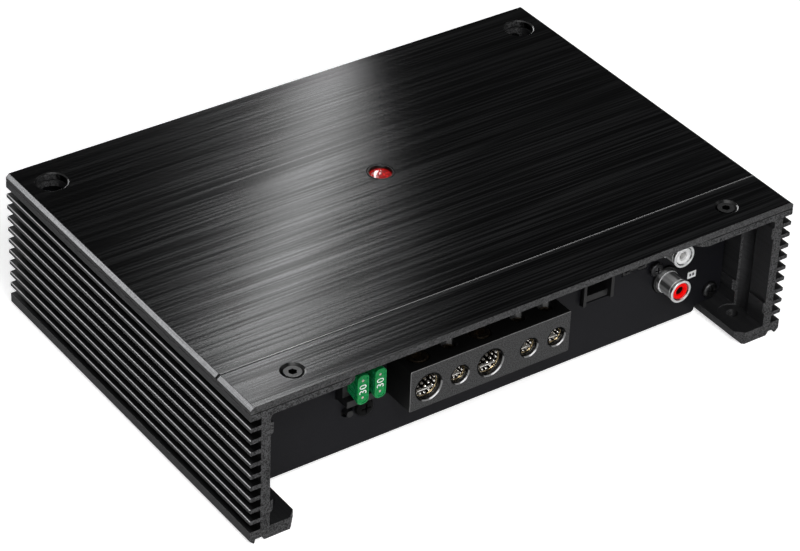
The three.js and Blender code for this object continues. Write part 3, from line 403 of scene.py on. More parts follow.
def anodised_extrusion():
    """Matt black anodised aluminium with saw-cut ends and die lines along Y, painted shade between the fins
    and a painted highlight on the fins' upper edges.
    """
    made = start_material("anodised_extrusion", Metallic=0.55)
    die_lines = noise(0.0009, (1, 0.01, 1), detail=4)
    grit = saw_grit()
    ends = either_way(BACK)
    outside = beyond("X", cad_high.x - 0.0018, 0.0012)
    past_wall = beyond("X", cad_high.x - (FIN_DEPTH + 0.2) * MM, 0.0001)
    # painted shade: the gaps between the fins, down to the wall, made near black
    fin_gap_shade = times(inverted(outside), past_wall)
    # painted highlight: the fins' upward-turned tip edges made bright
    fin_edge_highlight = times(
        either_way(ACROSS, 0.3, 0.5),
        facing(UP, 0.3, 0.5),
        beyond("X", cad_high.x - 0.0006, 0.0001),
    )
    colour = layered(
        blend_colour(spread(die_lines, 0, 1), (0.017, 0.017, 0.018), (0.034, 0.034, 0.036)),
        (fin_gap_shade, grey(0.002)),
        (ends, blend_colour(grit, grey(0.004), (0.115, 0.115, 0.118))),
        (fin_edge_highlight, blend_colour(die_lines, (0.5, 0.5, 0.51), (0.85, 0.85, 0.86))),
    )
    rough = plus(
        spread(die_lines, 0.42, 0.52),
        mask_to(ends, 0, 0.2),
        mask_to(fin_edge_highlight, 0, -0.15),
    )
    surface(colour, rough, grit, 0.00003, 0.6)
    return made


def panel_black():
    """Satin black powder coat, with the coat's orange peel and fine specks."""
    made = start_material("panel_black", Specular_IOR_Level=0.16)
    specks = remap(noise(0.0004, detail=2), 0.35, 0.65, 0, 1)
    cloud = noise(0.02)
    colour = blend_colour(specks, (0.006, 0.006, 0.0078), (0.0085, 0.0085, 0.0108))
    colour = blend_colour(spread(cloud, 0, 0.25), colour, (0.006, 0.006, 0.007))
    surface(colour, spread(cloud, 0.42, 0.5), noise(0.0012, detail=2), 0.00002, 0.5)
    return made


def socket_black():
    """Moulded black plastic, grained towards the cables and smooth elsewhere, with painted light: front faces
    lighter than near-black sides, and painted highlights on its front edges and wire mouths.
    """
    made = start_material("socket_black", Specular_IOR_Level=0.25)
    grit = saw_grit(0.00045, 0.36, 0.64)
    # painted light: the grained faces towards the cables made lighter and the other faces near black, as if
    # lit only from the front
    front = facing(FRONT, 0.7, 0.95)
    # painted highlight: the chamfers and edges turned up, left and forward made light
    edge = times(
        facing((-0.45, -0.6, 0.66), 0.66, 0.72),
        facing(FRONT, 0.3, 0.5),
        inverted(facing(FRONT, 0.9, 0.96)),
    )
    # painted highlight: a bright crescent on the wire mouths' chamfers
    mouth_highlight = facing((-0.37, -0.67, 0.63), 0.93, 0.97)
    colour = layered(
        blend_colour(noise(0.003), grey(0.0015), grey(0.0035)),
        (front, blend_colour(grit, grey(0.012), (0.08, 0.08, 0.081))),
        (edge, grey(0.2)),
        (mouth_highlight, grey(0.75)),
    )
    surface(colour, mask_to(front, 0.4, 0.62), grit, 0.00002, 0.5)
    return made


def inner_black():
    """The darker moulding of the holders and sockets that are set back in the panel, with its front faces
    painted lighter as if lit from the front.
    """
    made = start_material("inner_black", Specular_IOR_Level=0.3)
    cloud = noise(0.004)
    body = blend_colour(cloud, grey(0.003), (0.009, 0.009, 0.0095))
    # painted light: faces towards the cables made lighter grey
    colour = blend_colour(facing(FRONT, 0.7, 0.95), body, grey(0.022))
    surface(colour, spread(cloud, 0.3, 0.42), noise(0.0006, detail=4), 0.00001, 0.5)
    return made


def metal(name, dark, light, roughness, grain=0.0006, share=1.0):
    """A bare or plated metal with fine marks, clouded tone and a roughness that follows them."""
    made = start_material(name, Metallic=share)
    marks = spread(noise(grain, detail=5, roughness=0.65), 0, 1)
    cloud = remap(noise(grain * 12), 0.35, 0.65, 0, 0.35)
    colour = blend_colour(cloud, blend_colour(marks, dark, light), dark)
    surface(colour, mask_to(marks, roughness * 0.8, roughness * 1.25), marks, 0.000006)
    return made


def screw_head():
    """Blackened screw head: worn grey on top, black down in its socket and on its thread."""
    made = start_material("screw_head", Metallic=0.9)
    marks = noise(0.0005, detail=4)
    top = times(facing(UP, 0.9, 0.97), near("Z", cad_high.z, 0.0006))
    colour = blend_colour(top, grey(0.003), blend_colour(marks, grey(0.06), grey(0.15)))
    surface(colour, spread(marks, 0.3, 0.42), marks, 0.000005)
    return made


def ferrule():
    """Dark ring inside a wire mouth, with painted light: a little lighter on the faces turned up and to the
    left.
    """
    made = start_material("ferrule", Metallic=0.9)
    marks = noise(0.0005, detail=4)
    # painted highlight on the faces turned up and to the left
    lit = facing((-0.55, -0.2, 0.8), 0.62, 0.85)
    lighter = blend_colour(marks, (0.05, 0.05, 0.048), (0.12, 0.118, 0.115))
    colour = blend_colour(lit, grey(0.006), lighter)
    surface(colour, spread(marks, 0.25, 0.35), marks, 0.000005)
    return made


def shell_nickel():
    """Bright nickel with painted reflections: light and dark stripes lengthwise by the direction each face is
    turned, and a painted highlight on the plain bright rim.
    """
    made = start_material("shell_nickel", Metallic=0.75)
    # painted reflection: lengthwise light and dark stripes from each face's normal
    normal = node("SeparateXYZ", {"Vector": node("NewGeometry").outputs["Normal"]})
    angle = math_node("ARCTAN2", normal.outputs["Z"], normal.outputs["X"])
    slow = math_of_one("SINE", times(angle, 4.0))
    quick = math_of_one("SINE", times(angle, 11.0))
    bands = plus(slow, times(quick, 0.5))
    marks = noise(0.0006)
    colour = layered(
        blend_colour(remap(bands, -0.9, 0.9, 0, 1), grey(0.1), grey(0.98)),
        # painted highlight: the rim facing the cables made near white
        (facing(FRONT, 0.3, 0.6), (0.93, 0.94, 0.94)),
        (spread(marks, 0, 0.15), grey(0.4)),
    )
    surface(colour, spread(marks, 0.28, 0.34), marks, 0.0000004)
    return made


def plastic(name, dark, light, roughness, grain=0.0012, dent=0.00001, **constants):
    """A moulded or painted plastic with clouded colour and a slightly uneven skin."""
    made = start_material(name, **constants)
    cloud = spread(noise(grain, detail=4), 0, 1)
    colour = blend_colour(cloud, dark, light)
    surface(colour, mask_to(cloud, roughness * 0.85, roughness * 1.15), cloud, dent, 0.6)
    return made


def led_clear():
    """The indicator's clear lamp body."""
    return plastic("led_clear", (0.6, 0.58, 0.55), (0.8, 0.78, 0.75), 0.15, Transmission_Weight=0.5)


def fuse_green():
    """Tinted fuse plastic, deeper at its sides, with painted light: brighter at its front as if lit there,
    and a painted highlight round its edges.
    """
    constants = {"Specular_IOR_Level": 0.25, "Subsurface_Weight": 0.25, "Subsurface_Scale": 0.002}
    made = start_material("fuse_green", **constants)
    cloud = noise(0.0015)
    # painted highlight: a bright green glow where the surface turns away from the view
    edge = node("LayerWeight", {"Blend": 0.35}).outputs["Facing"]
    colour = layered(
        blend_colour(cloud, (0.0, 0.07, 0.015), (0.002, 0.13, 0.03)),
        # painted light: the faces towards the cables made brighter green
        (facing(FRONT, 0.6, 0.95), blend_colour(cloud, (0.002, 0.2, 0.045), (0.006, 0.28, 0.07))),
        (remap(edge, 0.2, 0.9, 0, 0.6), (0.02, 0.55, 0.2)),
    )
    surface(colour, spread(cloud, 0.22, 0.32), noise(0.0008), 0.000012, 0.6)
    return made


def lens_red():
    """Tinted lens, lit a little from the lamp below it."""
    made = start_material("lens_red", Coat_Weight=0.6, Emission_Strength=0.35)
    facets = node("TexVoronoi", {"Vector": place(), "Scale": 1 / 0.0011}).outputs["Distance"]
    facets = remap(facets, 0.0, 0.6, 0, 1)
    colour = blend_colour(facets, (0.85, 0.012, 0.008), (0.25, 0.002, 0.002))
    link(colour, "Emission Color")
    surface(colour, 0.12, facets, 0.00006, 0.5)
    return made


def board_green():
    """Solder mask over copper tracks."""
    made = start_material("board_green", Coat_Weight=0.3)
    bricks = {"Vector": place(), "Scale": 260.0, "Mortar Size": 0.03, "Bias": 0.0, "Brick Width": 0.9}
    tracks = node("TexBrick", bricks).outputs["Fac"]
    mask = blend_colour(noise(0.006), (0.008, 0.055, 0.022), (0.014, 0.085, 0.034))
    colour = blend_colour(tracks, mask, (0.03, 0.16, 0.07))
    surface(colour, spread(noise(0.002), 0.3, 0.45), tracks, 0.00003, 0.5)
    return made


def winding_copper():
    """Enamelled wire laid side by side round the core."""
    made = start_material("winding_copper", Metallic=0.8, Coat_Weight=0.4)
    turns = {"Vector": place(), "Scale": 900.0, "Distortion": 1.5, "Detail": 1.0}
    wave = node("TexWave", turns).outputs["Fac"]
    colour = blend_colour(wave, (0.16, 0.05, 0.02), (0.6, 0.25, 0.1))
    surface(colour, mask_to(wave, 0.45, 0.28), wave, 0.0002, 0.7)
    return made


# name to (dark tone, light tone, roughness), then the size of the marks in metres and the metallic share
METALS = {
    "screw_black": ((0.025, 0.025, 0.026), (0.09, 0.09, 0.093), 0.42),
    "plated_brass": ((0.42, 0.33, 0.18), (0.72, 0.6, 0.4), 0.18),
    "grip_shadow": ((0.004, 0.003, 0.002), (0.02, 0.015, 0.008), 0.4),
    "dark_trim": (grey(0.02), grey(0.06), 0.3, 0.0005),
    "nickel_bright": ((0.85, 0.82, 0.76), (0.98, 0.96, 0.92), 0.16, 0.0006, 0.8),
    "set_screw_steel": ((0.09, 0.07, 0.05), (0.25, 0.2, 0.14), 0.3),
    "fuse_metal": (grey(0.5), (0.75, 0.75, 0.74), 0.3),
    "sheet_steel": ((0.35, 0.35, 0.36), grey(0.6), 0.35, 0.0015),
    "test_point": ((0.7, 0.5, 0.48), (0.95, 0.8, 0.78), 0.4, 0.0006, 0.4),
}
# name to (dark tone, light tone, roughness), then the size of the clouds and the depth of the dents in metres
PLASTICS = {
    # the next two are painted shade for the jacks' pin holes: grey in the white jack, near black in the red
    # one
    "bore_shade_grey": (grey(0.62), grey(0.72), 0.4),
    "bore_shade_dark": ((0.004, 0.002, 0.002), (0.012, 0.003, 0.003), 0.4),
    "inductor_grey": ((0.045, 0.045, 0.048), (0.09, 0.09, 0.095), 0.6, 0.0008, 0.00004),
    "capacitor_sleeve": ((0.02, 0.024, 0.05), (0.035, 0.04, 0.075), 0.28, 0.004),
    "package_black": ((0.014, 0.014, 0.015), (0.032, 0.032, 0.034), 0.55, 0.0007, 0.00002),
    "white_ink": (grey(0.88), grey(0.97), 0.5, 0.0008, 0.000004),
    "dark_ink": (grey(0.02), grey(0.05), 0.5, 0.0008, 0.000004),
    "knob_black": (grey(0.012), grey(0.028), 0.5, 0.0006, 0.00002),
}


def make_materials():
    """Every slot's material, and those of the pieces that differ inside one slot."""
    made = {
        "brushed_black": brushed_black(),
        "anodised_extrusion": anodised_extrusion(),
        "panel_black": panel_black(),
        "socket_black": socket_black(),
        "inner_black": inner_black(),
        "shell_nickel": shell_nickel(),
        "screw_head": screw_head(),
        "ferrule": ferrule(),
        "fuse_green": fuse_green(),
        "lens_red": lens_red(),
        "board_green": board_green(),
        "winding_copper": winding_copper(),
        "holder_screw": plastic("holder_screw", grey(0.001), grey(0.005), 0.5, Specular_IOR_Level=0.08),
        "rca_red": plastic("rca_red", (0.9, 0.0, 0.0), (1.0, 0.002, 0.002), 0.3, Specular_IOR_Level=0.1),
        "rca_white": plastic("rca_white", grey(0.93), grey(0.99), 0.35, Coat_Weight=0.3),
        "led_clear": led_clear(),
    }
    for name, tones in METALS.items():
        made[name] = metal(name, *tones)
    for name, tones in PLASTICS.items():
        made[name] = plastic(name, *tones)
    return made


MATERIALS = make_materials()


# ---------- shapes, in millimetres ----------
def lathe(profile, segments=48, flutes=0, flute_depth=0.0):
    """A turned shape about +Z from (radius, height) points, fluted round its rim if asked."""
    shape = bmesh.new()
    reach = max(radius for radius, _ in profile)
    rings = []
    for radius, height in profile:
        if radius < 1e-6:
            rings.append([shape.verts.new((0, 0, height))])
            continue
        ring = []
        for i in range(segments):
            angle = 2 * math.pi * i / segments
            groove = flute_depth * (0.5 - 0.5 * math.cos(flutes * angle)) if radius > reach - 0.5 else 0
            depth = radius - groove
            ring.append(shape.verts.new((depth * math.cos(angle), depth * math.sin(angle), height)))
        rings.append(ring)
    closed = profile[0] == profile[-1] and profile[0][0] > 0
    if closed:
        for vertex in rings.pop():
            shape.verts.remove(vertex)
        rings.append(rings[0])
    for lower, upper in zip(rings, rings[1:]):
        for i in range(segments):
            j = (i + 1) % segments
            below = [lower[i % len(lower)], lower[j % len(lower)]]
            above = [upper[j % len(upper)], upper[i % len(upper)]]
            corners = list(dict.fromkeys(below + above))
            if len(corners) > 2:
                shape.faces.new(corners)
    bmesh.ops.recalc_face_normals(shape, faces=shape.faces)
    return shape


def cylinder(radius, z0, z1, segments=24):
    return lathe([(0, z0), (radius, z0), (radius, z1), (0, z1)], segments)


def arc(centre_u, centre_v, radius, start, end, steps=6):
    """Points on an arc, from one angle to another in degrees."""
    points = []
    for i in range(steps + 1):
        angle = math.radians(start + (end - start) * i / steps)
        points.append((centre_u + radius * math.cos(angle), centre_v + radius * math.sin(angle)))
    return points


def rounded_outline(half_u, half_v, radius, steps):
    """A rectangle with rounded corners round the origin, anticlockwise."""
    u, v = half_u - radius, half_v - radius
    points = []
    for centre_u, centre_v, start in ((u, -v, -90), (u, v, 0), (-u, v, 90), (-u, -v, 180)):
        points += arc(centre_u, centre_v, radius, start, start + 90, steps)
    return points


def skin(shape, first, second, closed=True):
    """Faces between two rows of points, closed into a ring unless told otherwise."""
    faces = []
    for i in range(len(first) if closed else len(first) - 1):
        j = (i + 1) % len(first)
        faces.append(shape.faces.new([first[i], first[j], second[j], second[i]]))
    return faces


def prism(outline, z0, z1, shrink=1.0):
    """An outline extruded from z0 to z1, where it may be smaller or larger."""
    shape = bmesh.new()
    low = [shape.verts.new((x, y, z0)) for x, y in outline]
    high = [shape.verts.new((x * shrink, y * shrink, z1)) for x, y in outline]
    shape.faces.new(list(reversed(low)))
    shape.faces.new(high)
    skin(shape, low, high)
    bmesh.ops.recalc_face_normals(shape, faces=shape.faces)
    return shape


def slab(x0, x1, y0, y1, z0, z1, round_edges=0.0, steps=2):
    """A block between two corners, with its edges rounded if asked."""
    shape = prism([(x0, y0), (x1, y0), (x1, y1), (x0, y1)], z0, z1)
    if round_edges:
        rounding = {"offset": round_edges, "segments": steps, "affect": "EDGES", "profile": 0.5}
        bmesh.ops.bevel(shape, geom=shape.edges[:], **rounding)
    return shape


def moved(shape, x=0.0, y=0.0, z=0.0, turn=None):
    """The shape turned about the origin and then moved."""
    matrix = Matrix.Translation((x, y, z)) @ (turn or Matrix.Identity(4))
    bmesh.ops.transform(shape, matrix=matrix, verts=shape.verts)
    return shape


def together(*shapes):
    """Several shapes as one, with nothing cut."""
    whole = shapes[0]
    for other in shapes[1:]:
        mesh = bpy.data.meshes.new("part")
        other.to_mesh(mesh)
        whole.from_mesh(mesh)
        bpy.data.meshes.remove(mesh)
        other.free()
    return whole


def scratch_object(shape, name):
    mesh = bpy.data.meshes.new(name)
    shape.to_mesh(mesh)
    shape.free()
    made = bpy.data.objects.new(name, mesh)
    bpy.context.scene.collection.objects.link(made)
    return made


def combined(base, tools, operation="DIFFERENCE"):
    """The base with each tool cut from it or joined to it, as an exact boolean."""
    for tool in tools:
        first = scratch_object(base, "first")
        second = scratch_object(tool, "second")
        boolean = first.modifiers.new("boolean", "BOOLEAN")
        boolean.object = second
        boolean.operation = operation
        boolean.solver = "EXACT"
        evaluated = first.evaluated_get(bpy.context.evaluated_depsgraph_get())
        base = bmesh.new()
        base.from_mesh(evaluated.to_mesh())
        evaluated.to_mesh_clear()
        for used in (first, second):
            mesh = used.data
            bpy.data.objects.remove(used)
            bpy.data.meshes.remove(mesh)
    return base


TO_FRONT = Matrix.Rotation(math.radians(90), 4, "X")  # +Z to -Y, with +Y upright
TO_BACK = Matrix.Rotation(math.radians(180), 4, "Z") @ TO_FRONT
SHARP_ANGLE = math.radians(38)


def on_front(shape, centre, y):
    """The shape turned to point at the cables, on a line through a centre along Y."""
    return moved(shape, centre.x, y, centre.z, TO_FRONT)


def piece(name, shape, material, body, replaced=(), smooth=35):
    """A finished piece from a shape in millimetres: scaled, shaded, given its material and its body."""
    bmesh.ops.scale(shape, vec=(MM, MM, MM), verts=shape.verts)
    made = scratch_object(shape, name)
    made.data.materials.append(MATERIALS[material])
    made.data.shade_smooth()
    made.data.set_sharp_from_angle(angle=math.radians(smooth))
    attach(made, body)
    if replaced:
        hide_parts(*replaced)
    return made


def soften(made, width):
    """Rounds every sharp edge by a width in millimetres, keeping flat faces flat."""
    bevel = made.modifiers.new("edges", "BEVEL")
    bevel.width = width * MM
    bevel.segments = 2
    bevel.limit_method = "ANGLE"
    bevel.angle_limit = SHARP_ANGLE
    bevel.harden_normals = True
    bevel.miter_outer = "MITER_SHARP"


def box_mm(node_name):
    """A CAD node's lowest and highest corners and its middle, in millimetres."""
    low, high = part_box(node_name)
    return low / MM, high / MM, (low / MM + high / MM) / 2


def middle_mm(node_name):
    return box_mm(node_name)[2]


# ---------- carried-over CAD nodes ----------
def smooth_group():
    """Geometry nodes that merge a CAD node's split corners and smooth it below an angle."""
    group = bpy.data.node_groups.new("merge_and_smooth", "GeometryNodeTree")
    group.interface.new_socket("Geometry", in_out="INPUT", socket_type="NodeSocketGeometry")
    group.interface.new_socket("Geometry", in_out="OUTPUT", socket_type="NodeSocketGeometry")
    start = group.nodes.new("NodeGroupInput")
    merge = group.nodes.new("GeometryNodeMergeByDistance")
    merge.inputs["Distance"].default_value = 0.002 * MM
    faces = group.nodes.new("GeometryNodeSetShadeSmooth")
    edges = group.nodes.new("GeometryNodeSetShadeSmooth")
    edges.domain = "EDGE"
    edges.inputs["Shade Smooth"].default_value = False
    angle = group.nodes.new("GeometryNodeInputMeshEdgeAngle")
    sharp = group.nodes.new("FunctionNodeCompare")
    sharp.data_type = "FLOAT"
    sharp.operation = "GREATER_THAN"
    sharp.inputs[1].default_value = SHARP_ANGLE
    end = group.nodes.new("NodeGroupOutput")
    links = group.links
    links.new(start.outputs[0], merge.inputs["Geometry"])
    links.new(merge.outputs["Geometry"], faces.inputs["Geometry"])
    links.new(faces.outputs["Geometry"], edges.inputs["Geometry"])
    links.new(angle.outputs["Unsigned Angle"], sharp.inputs[0])
    links.new(sharp.outputs["Result"], edges.inputs["Selection"])
    links.new(edges.outputs["Geometry"], end.inputs[0])
    return group


SMOOTH_GROUP = smooth_group()

# node name to (material, edge rounding in millimetres)
CARRIED_OVER = {
    "heatsink_extrusion": ("anodised_extrusion", 0.06),
    "top_cover_plate": ("brushed_black", 0.06),
    "terminal_cover": ("brushed_black", 0.06),
    "front_panel": ("panel_black", 0.1),
    "rear_panel": ("panel_black", 0.1),
    "bottom_cover": ("panel_black", 0.15),
    "fuse_holder": ("inner_black", 0.15),
    "rca_body": ("inner_black", 0.15),
    "high_level_socket": ("inner_black", 0.12),
    "remote_socket": ("inner_black", 0.1),
    "phase_switch_lever": ("knob_black", 0.2),
    "phase_switch_body": ("sheet_steel", 0.15),
    "circuit_board": ("board_green", 0.05),
    "control_board": ("board_green", 0.05),
    "power_toroid": ("winding_copper", 0.0),
    "output_inductor": ("inductor_grey", 0.3),
    "indicator_led": ("led_clear", 0.1),
}


def dress_cad():
    """Gives each carried-over CAD node its material, merged corners and softened edges."""
    dressed = dict(CARRIED_OVER)
    for name in TERMINALS:
        dressed[f"{name}_contact"] = ("plated_brass", 0.15)
    for side in ("left", "right"):
        dressed[f"fuse_{side}_element"] = ("fuse_metal", 0.08)
        dressed[f"clamp_bar_{side}"] = ("sheet_steel", 0.15)
        for end in ("front", "rear"):
            dressed[f"transistor_{side}_{end}"] = ("package_black", 0.25)
    for name in ("gain", "low_pass", "bass"):
        dressed[f"{name}_pot"] = ("sheet_steel", 0.15)
    for name in ("left", "centre", "right"):
        dressed[f"capacitor_{name}"] = ("capacitor_sleeve", 0.2)
    for name, (material, rounding) in dressed.items():
        made = NODES[name]
        made.data.materials.clear()
        made.data.materials.append(MATERIALS[material])
        merge = made.modifiers.new("merge_and_smooth", "NODES")
        merge.node_group = SMOOTH_GROUP
        if rounding:
            soften(made, rounding)


# ---------- screws ----------
THREAD_ROOT = 0.84  # the thread's inner radius over its outer one
RECESS_TAPER = 0.55  # how wide the cross recess is at its floor, for each millimetre at its top


def threaded(radius, start, end, pitch):
    """Profile points up a threaded shank, from one height to another."""
    points = []
    root = radius * THREAD_ROOT
    turns = int((end - start) / pitch)
    for i in range(turns):
        height = start + i * pitch
        points += [(root, height), (radius, height + pitch * 0.5)]
    points.append((root, start + turns * pitch))
    return points


def cross_recess(reach, depth, top):
    """The tapered cross of a screw head, from its top down."""
    arm = reach * 0.2
    cross = [(arm, arm), (reach, arm), (reach, -arm), (arm, -arm), (arm, -reach), (-arm, -reach)]
    cross += [(-arm, -arm), (-reach, -arm), (-reach, arm), (-arm, arm), (-arm, reach), (arm, reach)]
    cross.reverse()
    floor = [(x * RECESS_TAPER, y * RECESS_TAPER) for x, y in cross]
    return prism(floor, top - depth, top + 0.3, 1 / RECESS_TAPER)


def pan_screw(size, length):
    """A pan-head screw that points down -Z, with its head's underside at z = 0."""
    head, height = size["head"], size["height"]
    profile = [(0, -length), (size["shank"] * 0.7, -length)]
    profile += threaded(size["shank"], -length + 0.4, -0.2, size["pitch"])
    profile += [(size["shank"], 0), (head - 0.15, 0), (head, 0.15), (head, height * 0.35)]
    crown = arc(head - height * 0.62, height * 0.35, height * 0.62, 0, 75)
    profile += [(radius, min(z, height)) for radius, z in crown[1:]]
    profile += [(head * 0.3, height), (0, height)]
    return combined(lathe(profile, 40), [cross_recess(head * 0.58, height * 0.6, height)])


def socket_screw(head_profile, reach, top, depth):
    """A turned screw with a hexagon socket, chamfered at its mouth."""
    hexagon = arc(0, 0, reach, 0, 300, 5)
    cone = [(0, top - 0.25), (reach * 0.6, top - 0.25), (reach * 0.95, top + 0.1), (0, top + 0.1)]
    return combined(lathe(head_profile, 40), [prism(hexagon, top - depth, top + 0.2), lathe(cone, 40)])


def make_panel_screws():
    """The four pan-head screws of the end panels, and the two that hold the fuse holder and the jacks."""
    for end, turn in (("front", TO_FRONT), ("rear", TO_BACK)):
        for side in ("left", "right"):
            name = f"panel_screw_{end}_{side}"
            low, high, centre = box_mm(name)
            head = PANEL_SCREW["height"]
            seat = low.y + head if end == "front" else high.y - head
            shape = moved(pan_screw(PANEL_SCREW, high.y - low.y - head), centre.x, seat, centre.z, turn)
            piece(f"{name}_fine", shape, "screw_black", "housing", [name])
    for name, size, finish in (
        ("fuse_holder_screw", HOLDER_SCREW, "holder_screw"),
        ("rca_screw", RCA_SCREW, "screw_black"),
    ):
        low, high, _ = box_mm(name)
        head = size["height"]
        shape = on_front(pan_screw(size, high.y - low.y - head), middle_mm(name), low.y + head)
        piece(f"{name}_fine", shape, finish, "housing", [name])


def make_cover_screws():
    """The two countersunk socket screws of the terminal cover."""
    shank, height, head = COVER_SCREW["shank"], COVER_SCREW["height"], COVER_SCREW["head"]
    for side in ("left", "right"):
        name = f"cover_screw_{side}"
        low, high, centre = box_mm(name)
        length = high.z - low.z
        profile = [(0, -length), (shank * 0.7, -length)]
        profile += threaded(shank, -length + 0.4, -height - 0.4, COVER_SCREW["pitch"])
        profile += [(shank, -height), (head, -0.3), (head, -0.12)]
        profile += [(head - 0.12, 0), (COVER_SCREW["hex"] * 0.72, -0.02), (0, -0.02)]
        shape = socket_screw(profile, COVER_SCREW["hex"] / math.sqrt(3), 0, COVER_SCREW["socket"])
        moved(shape, centre.x, centre.y, high.z)
        piece(f"{name}_fine", shape, "screw_head", name, [name])


# ---------- terminals ----------
def make_terminal_block():
    """The block with rounded edges, chamfered wire mouths, contact pockets and set-screw wells."""
    low, high, _ = box_mm("terminal_block")
    x0, x1 = low.x + FLANGE_WIDTH, high.x - FLANGE_WIDTH
    z0, z1 = low.z + FLANGE_WIDTH, high.z - FLANGE_WIDTH
    flange_front = PANEL_FACE + 1.5 + GAP
    body = slab(x0, x1, low.y, high.y, z0, z1, 0.35, 3)
    flange = slab(low.x, high.x, flange_front, high.y, low.z, high.z, 0.3)
    body = combined(body, [flange], "UNION")
    cuts = []
    for name, size in TERMINALS.items():
        centre = middle_mm(f"{name}_contact")
        well = middle_mm(f"{name}_set_screw")
        mouth = [(0, -BORE_LEAD - 0.5), (size["mouth"], -BORE_LEAD - 0.5), (size["mouth"], -0.45)]
        mouth += [(size["mouth"] + 0.45, 0.05), (size["mouth"] + 0.45, 1), (0, 1)]
        cuts.append(on_front(lathe(mouth, 56), centre, low.y))
        half = size["half"] + GAP
        pocket = slab(-half, half, low.y + BORE_LEAD, high.y + 1, -half, half)
        cuts.append(moved(pocket, centre.x, 0, centre.z))
        radius = size["screw"] + GAP
        hole = [(0, centre.z), (radius, centre.z), (radius, z1 - 0.4)]
        hole += [(radius + 0.5, z1 + 0.1), (0, z1 + 0.1)]
        cuts.append(moved(lathe(hole, 48), well.x, well.y, 0))
    body = combined(body, cuts)
    replaced = ["terminal_block"]
    piece("terminal_block_fine", body, "socket_black", "housing", replaced, smooth=30)


def crisp(wave):
    """A 0 to 1 wave with its tops and bottoms flattened."""
    return min(1, max(0, 2 * wave - 0.5))


def wire_grip(radius, length, wrap, pitch):
    """A toothed saddle that lines the lower part of a wire bore, open at the top for the set screw."""
    shape = bmesh.new()
    teeth = round(2 * math.pi * radius / pitch)
    steps = 110  # round the grip
    start, end = math.radians(270 - wrap), math.radians(270 + wrap)
    rows = int(length / (pitch / 6))
    outer, inner = [], []
    for row in range(rows + 1):
        depth = -length * row / rows
        tooth = crisp(0.5 - 0.5 * math.cos(2 * math.pi * depth / pitch))
        outer_row, inner_row = [], []
        for i in range(steps + 1):
            angle = start + (end - start) * i / steps
            knurl = crisp(0.5 - 0.5 * math.cos(angle * teeth))
            inside = radius - GRIP_FLOOR - GRIP_TOOTH * tooth * knurl
            for reach, points in ((radius - 0.09, outer_row), (inside, inner_row)):
                points.append(shape.verts.new((math.cos(angle) * reach, math.sin(angle) * reach, depth)))
        outer.append(outer_row)
        inner.append(inner_row)
    for row in range(rows):
        skin(shape, outer[row], outer[row + 1], closed=False)
        for face in skin(shape, inner[row], inner[row + 1], closed=False):
            raised = sum(radius - GRIP_FLOOR - vertex.co.xy.length for vertex in face.verts) / 4
            face.material_index = 0 if raised > 0.4 * GRIP_TOOTH else 1
    for edge in (0, steps):
        skin(shape, [points[edge] for points in outer], [points[edge] for points in inner], closed=False)
    for row in (0, rows):
        skin(shape, outer[row], inner[row], closed=False)
    bmesh.ops.recalc_face_normals(shape, faces=shape.faces)
    return shape


def make_wire_clamp(name, size):
    """The toothed grip in a wire bore, the clamp bar above it and the ring in the block's mouth."""
    low, _, centre = box_mm(f"{name}_contact")
    bore, mouth = size["bore"], size["mouth"]
    grip = on_front(wire_grip(bore, GRIP_LENGTH, size["wrap"], size["pitch"]), centre, low.y + 0.4)
    made = piece(f"{name}_wire_grip", grip, "nickel_bright", "housing", smooth=50)
    made.data.materials.append(MATERIALS["grip_shadow"])
    clear = bore - GRIP_FLOOR - GRIP_TOOTH - 0.1
    bar_low = -size["bar"] * bore
    half = math.sqrt(clear * clear - bar_low * bar_low)
    bar_end = middle_mm(f"{name}_set_screw").y - size["screw"] - GAP - low.y
    bar = slab(-half, half, GAP, bar_end, bar_low, bar_low + BAR_THICKNESS, 0.12)
    moved(bar, centre.x, low.y, centre.z)
    piece(f"{name}_clamp_bar", bar, "nickel_bright", "housing")
    ring = [(bore + 0.05, -BORE_LEAD), (mouth - 0.02, -BORE_LEAD), (mouth - 0.02, -0.35)]
    ring += [(mouth - 0.25, -0.2), (bore + 0.05, -0.75), (bore + 0.05, -BORE_LEAD)]
    ring = on_front(lathe(ring, 64), centre, box_mm("terminal_block")[0].y)
    piece(f"{name}_ferrule", ring, "ferrule", "housing")


def make_set_screw(name, radius):
    """A headless screw with a hexagon socket and a pointed end."""
    low, high, centre = box_mm(name)
    length = high.z - low.z
    root = radius * THREAD_ROOT
    point = -length + 0.4 * radius
    profile = [(0, -length), (radius * 0.6, -length), (root, point)]
    profile += threaded(radius, point + 0.2, -0.35, SET_SCREW_PITCH)
    profile += [(root, -0.3), (radius * 0.95, -0.2), (radius * 0.86, 0), (0, 0)]
    shape = moved(socket_screw(profile, radius * 0.55, 0, length * 0.5), centre.x, centre.y, high.z)
    piece(f"{name}_fine", shape, "set_screw_steel", name, [name], smooth=25)


def make_terminals():
    make_terminal_block()
    for name, size in TERMINALS.items():
        make_wire_clamp(name, size)
        make_set_screw(f"{name}_set_screw", size["screw"])


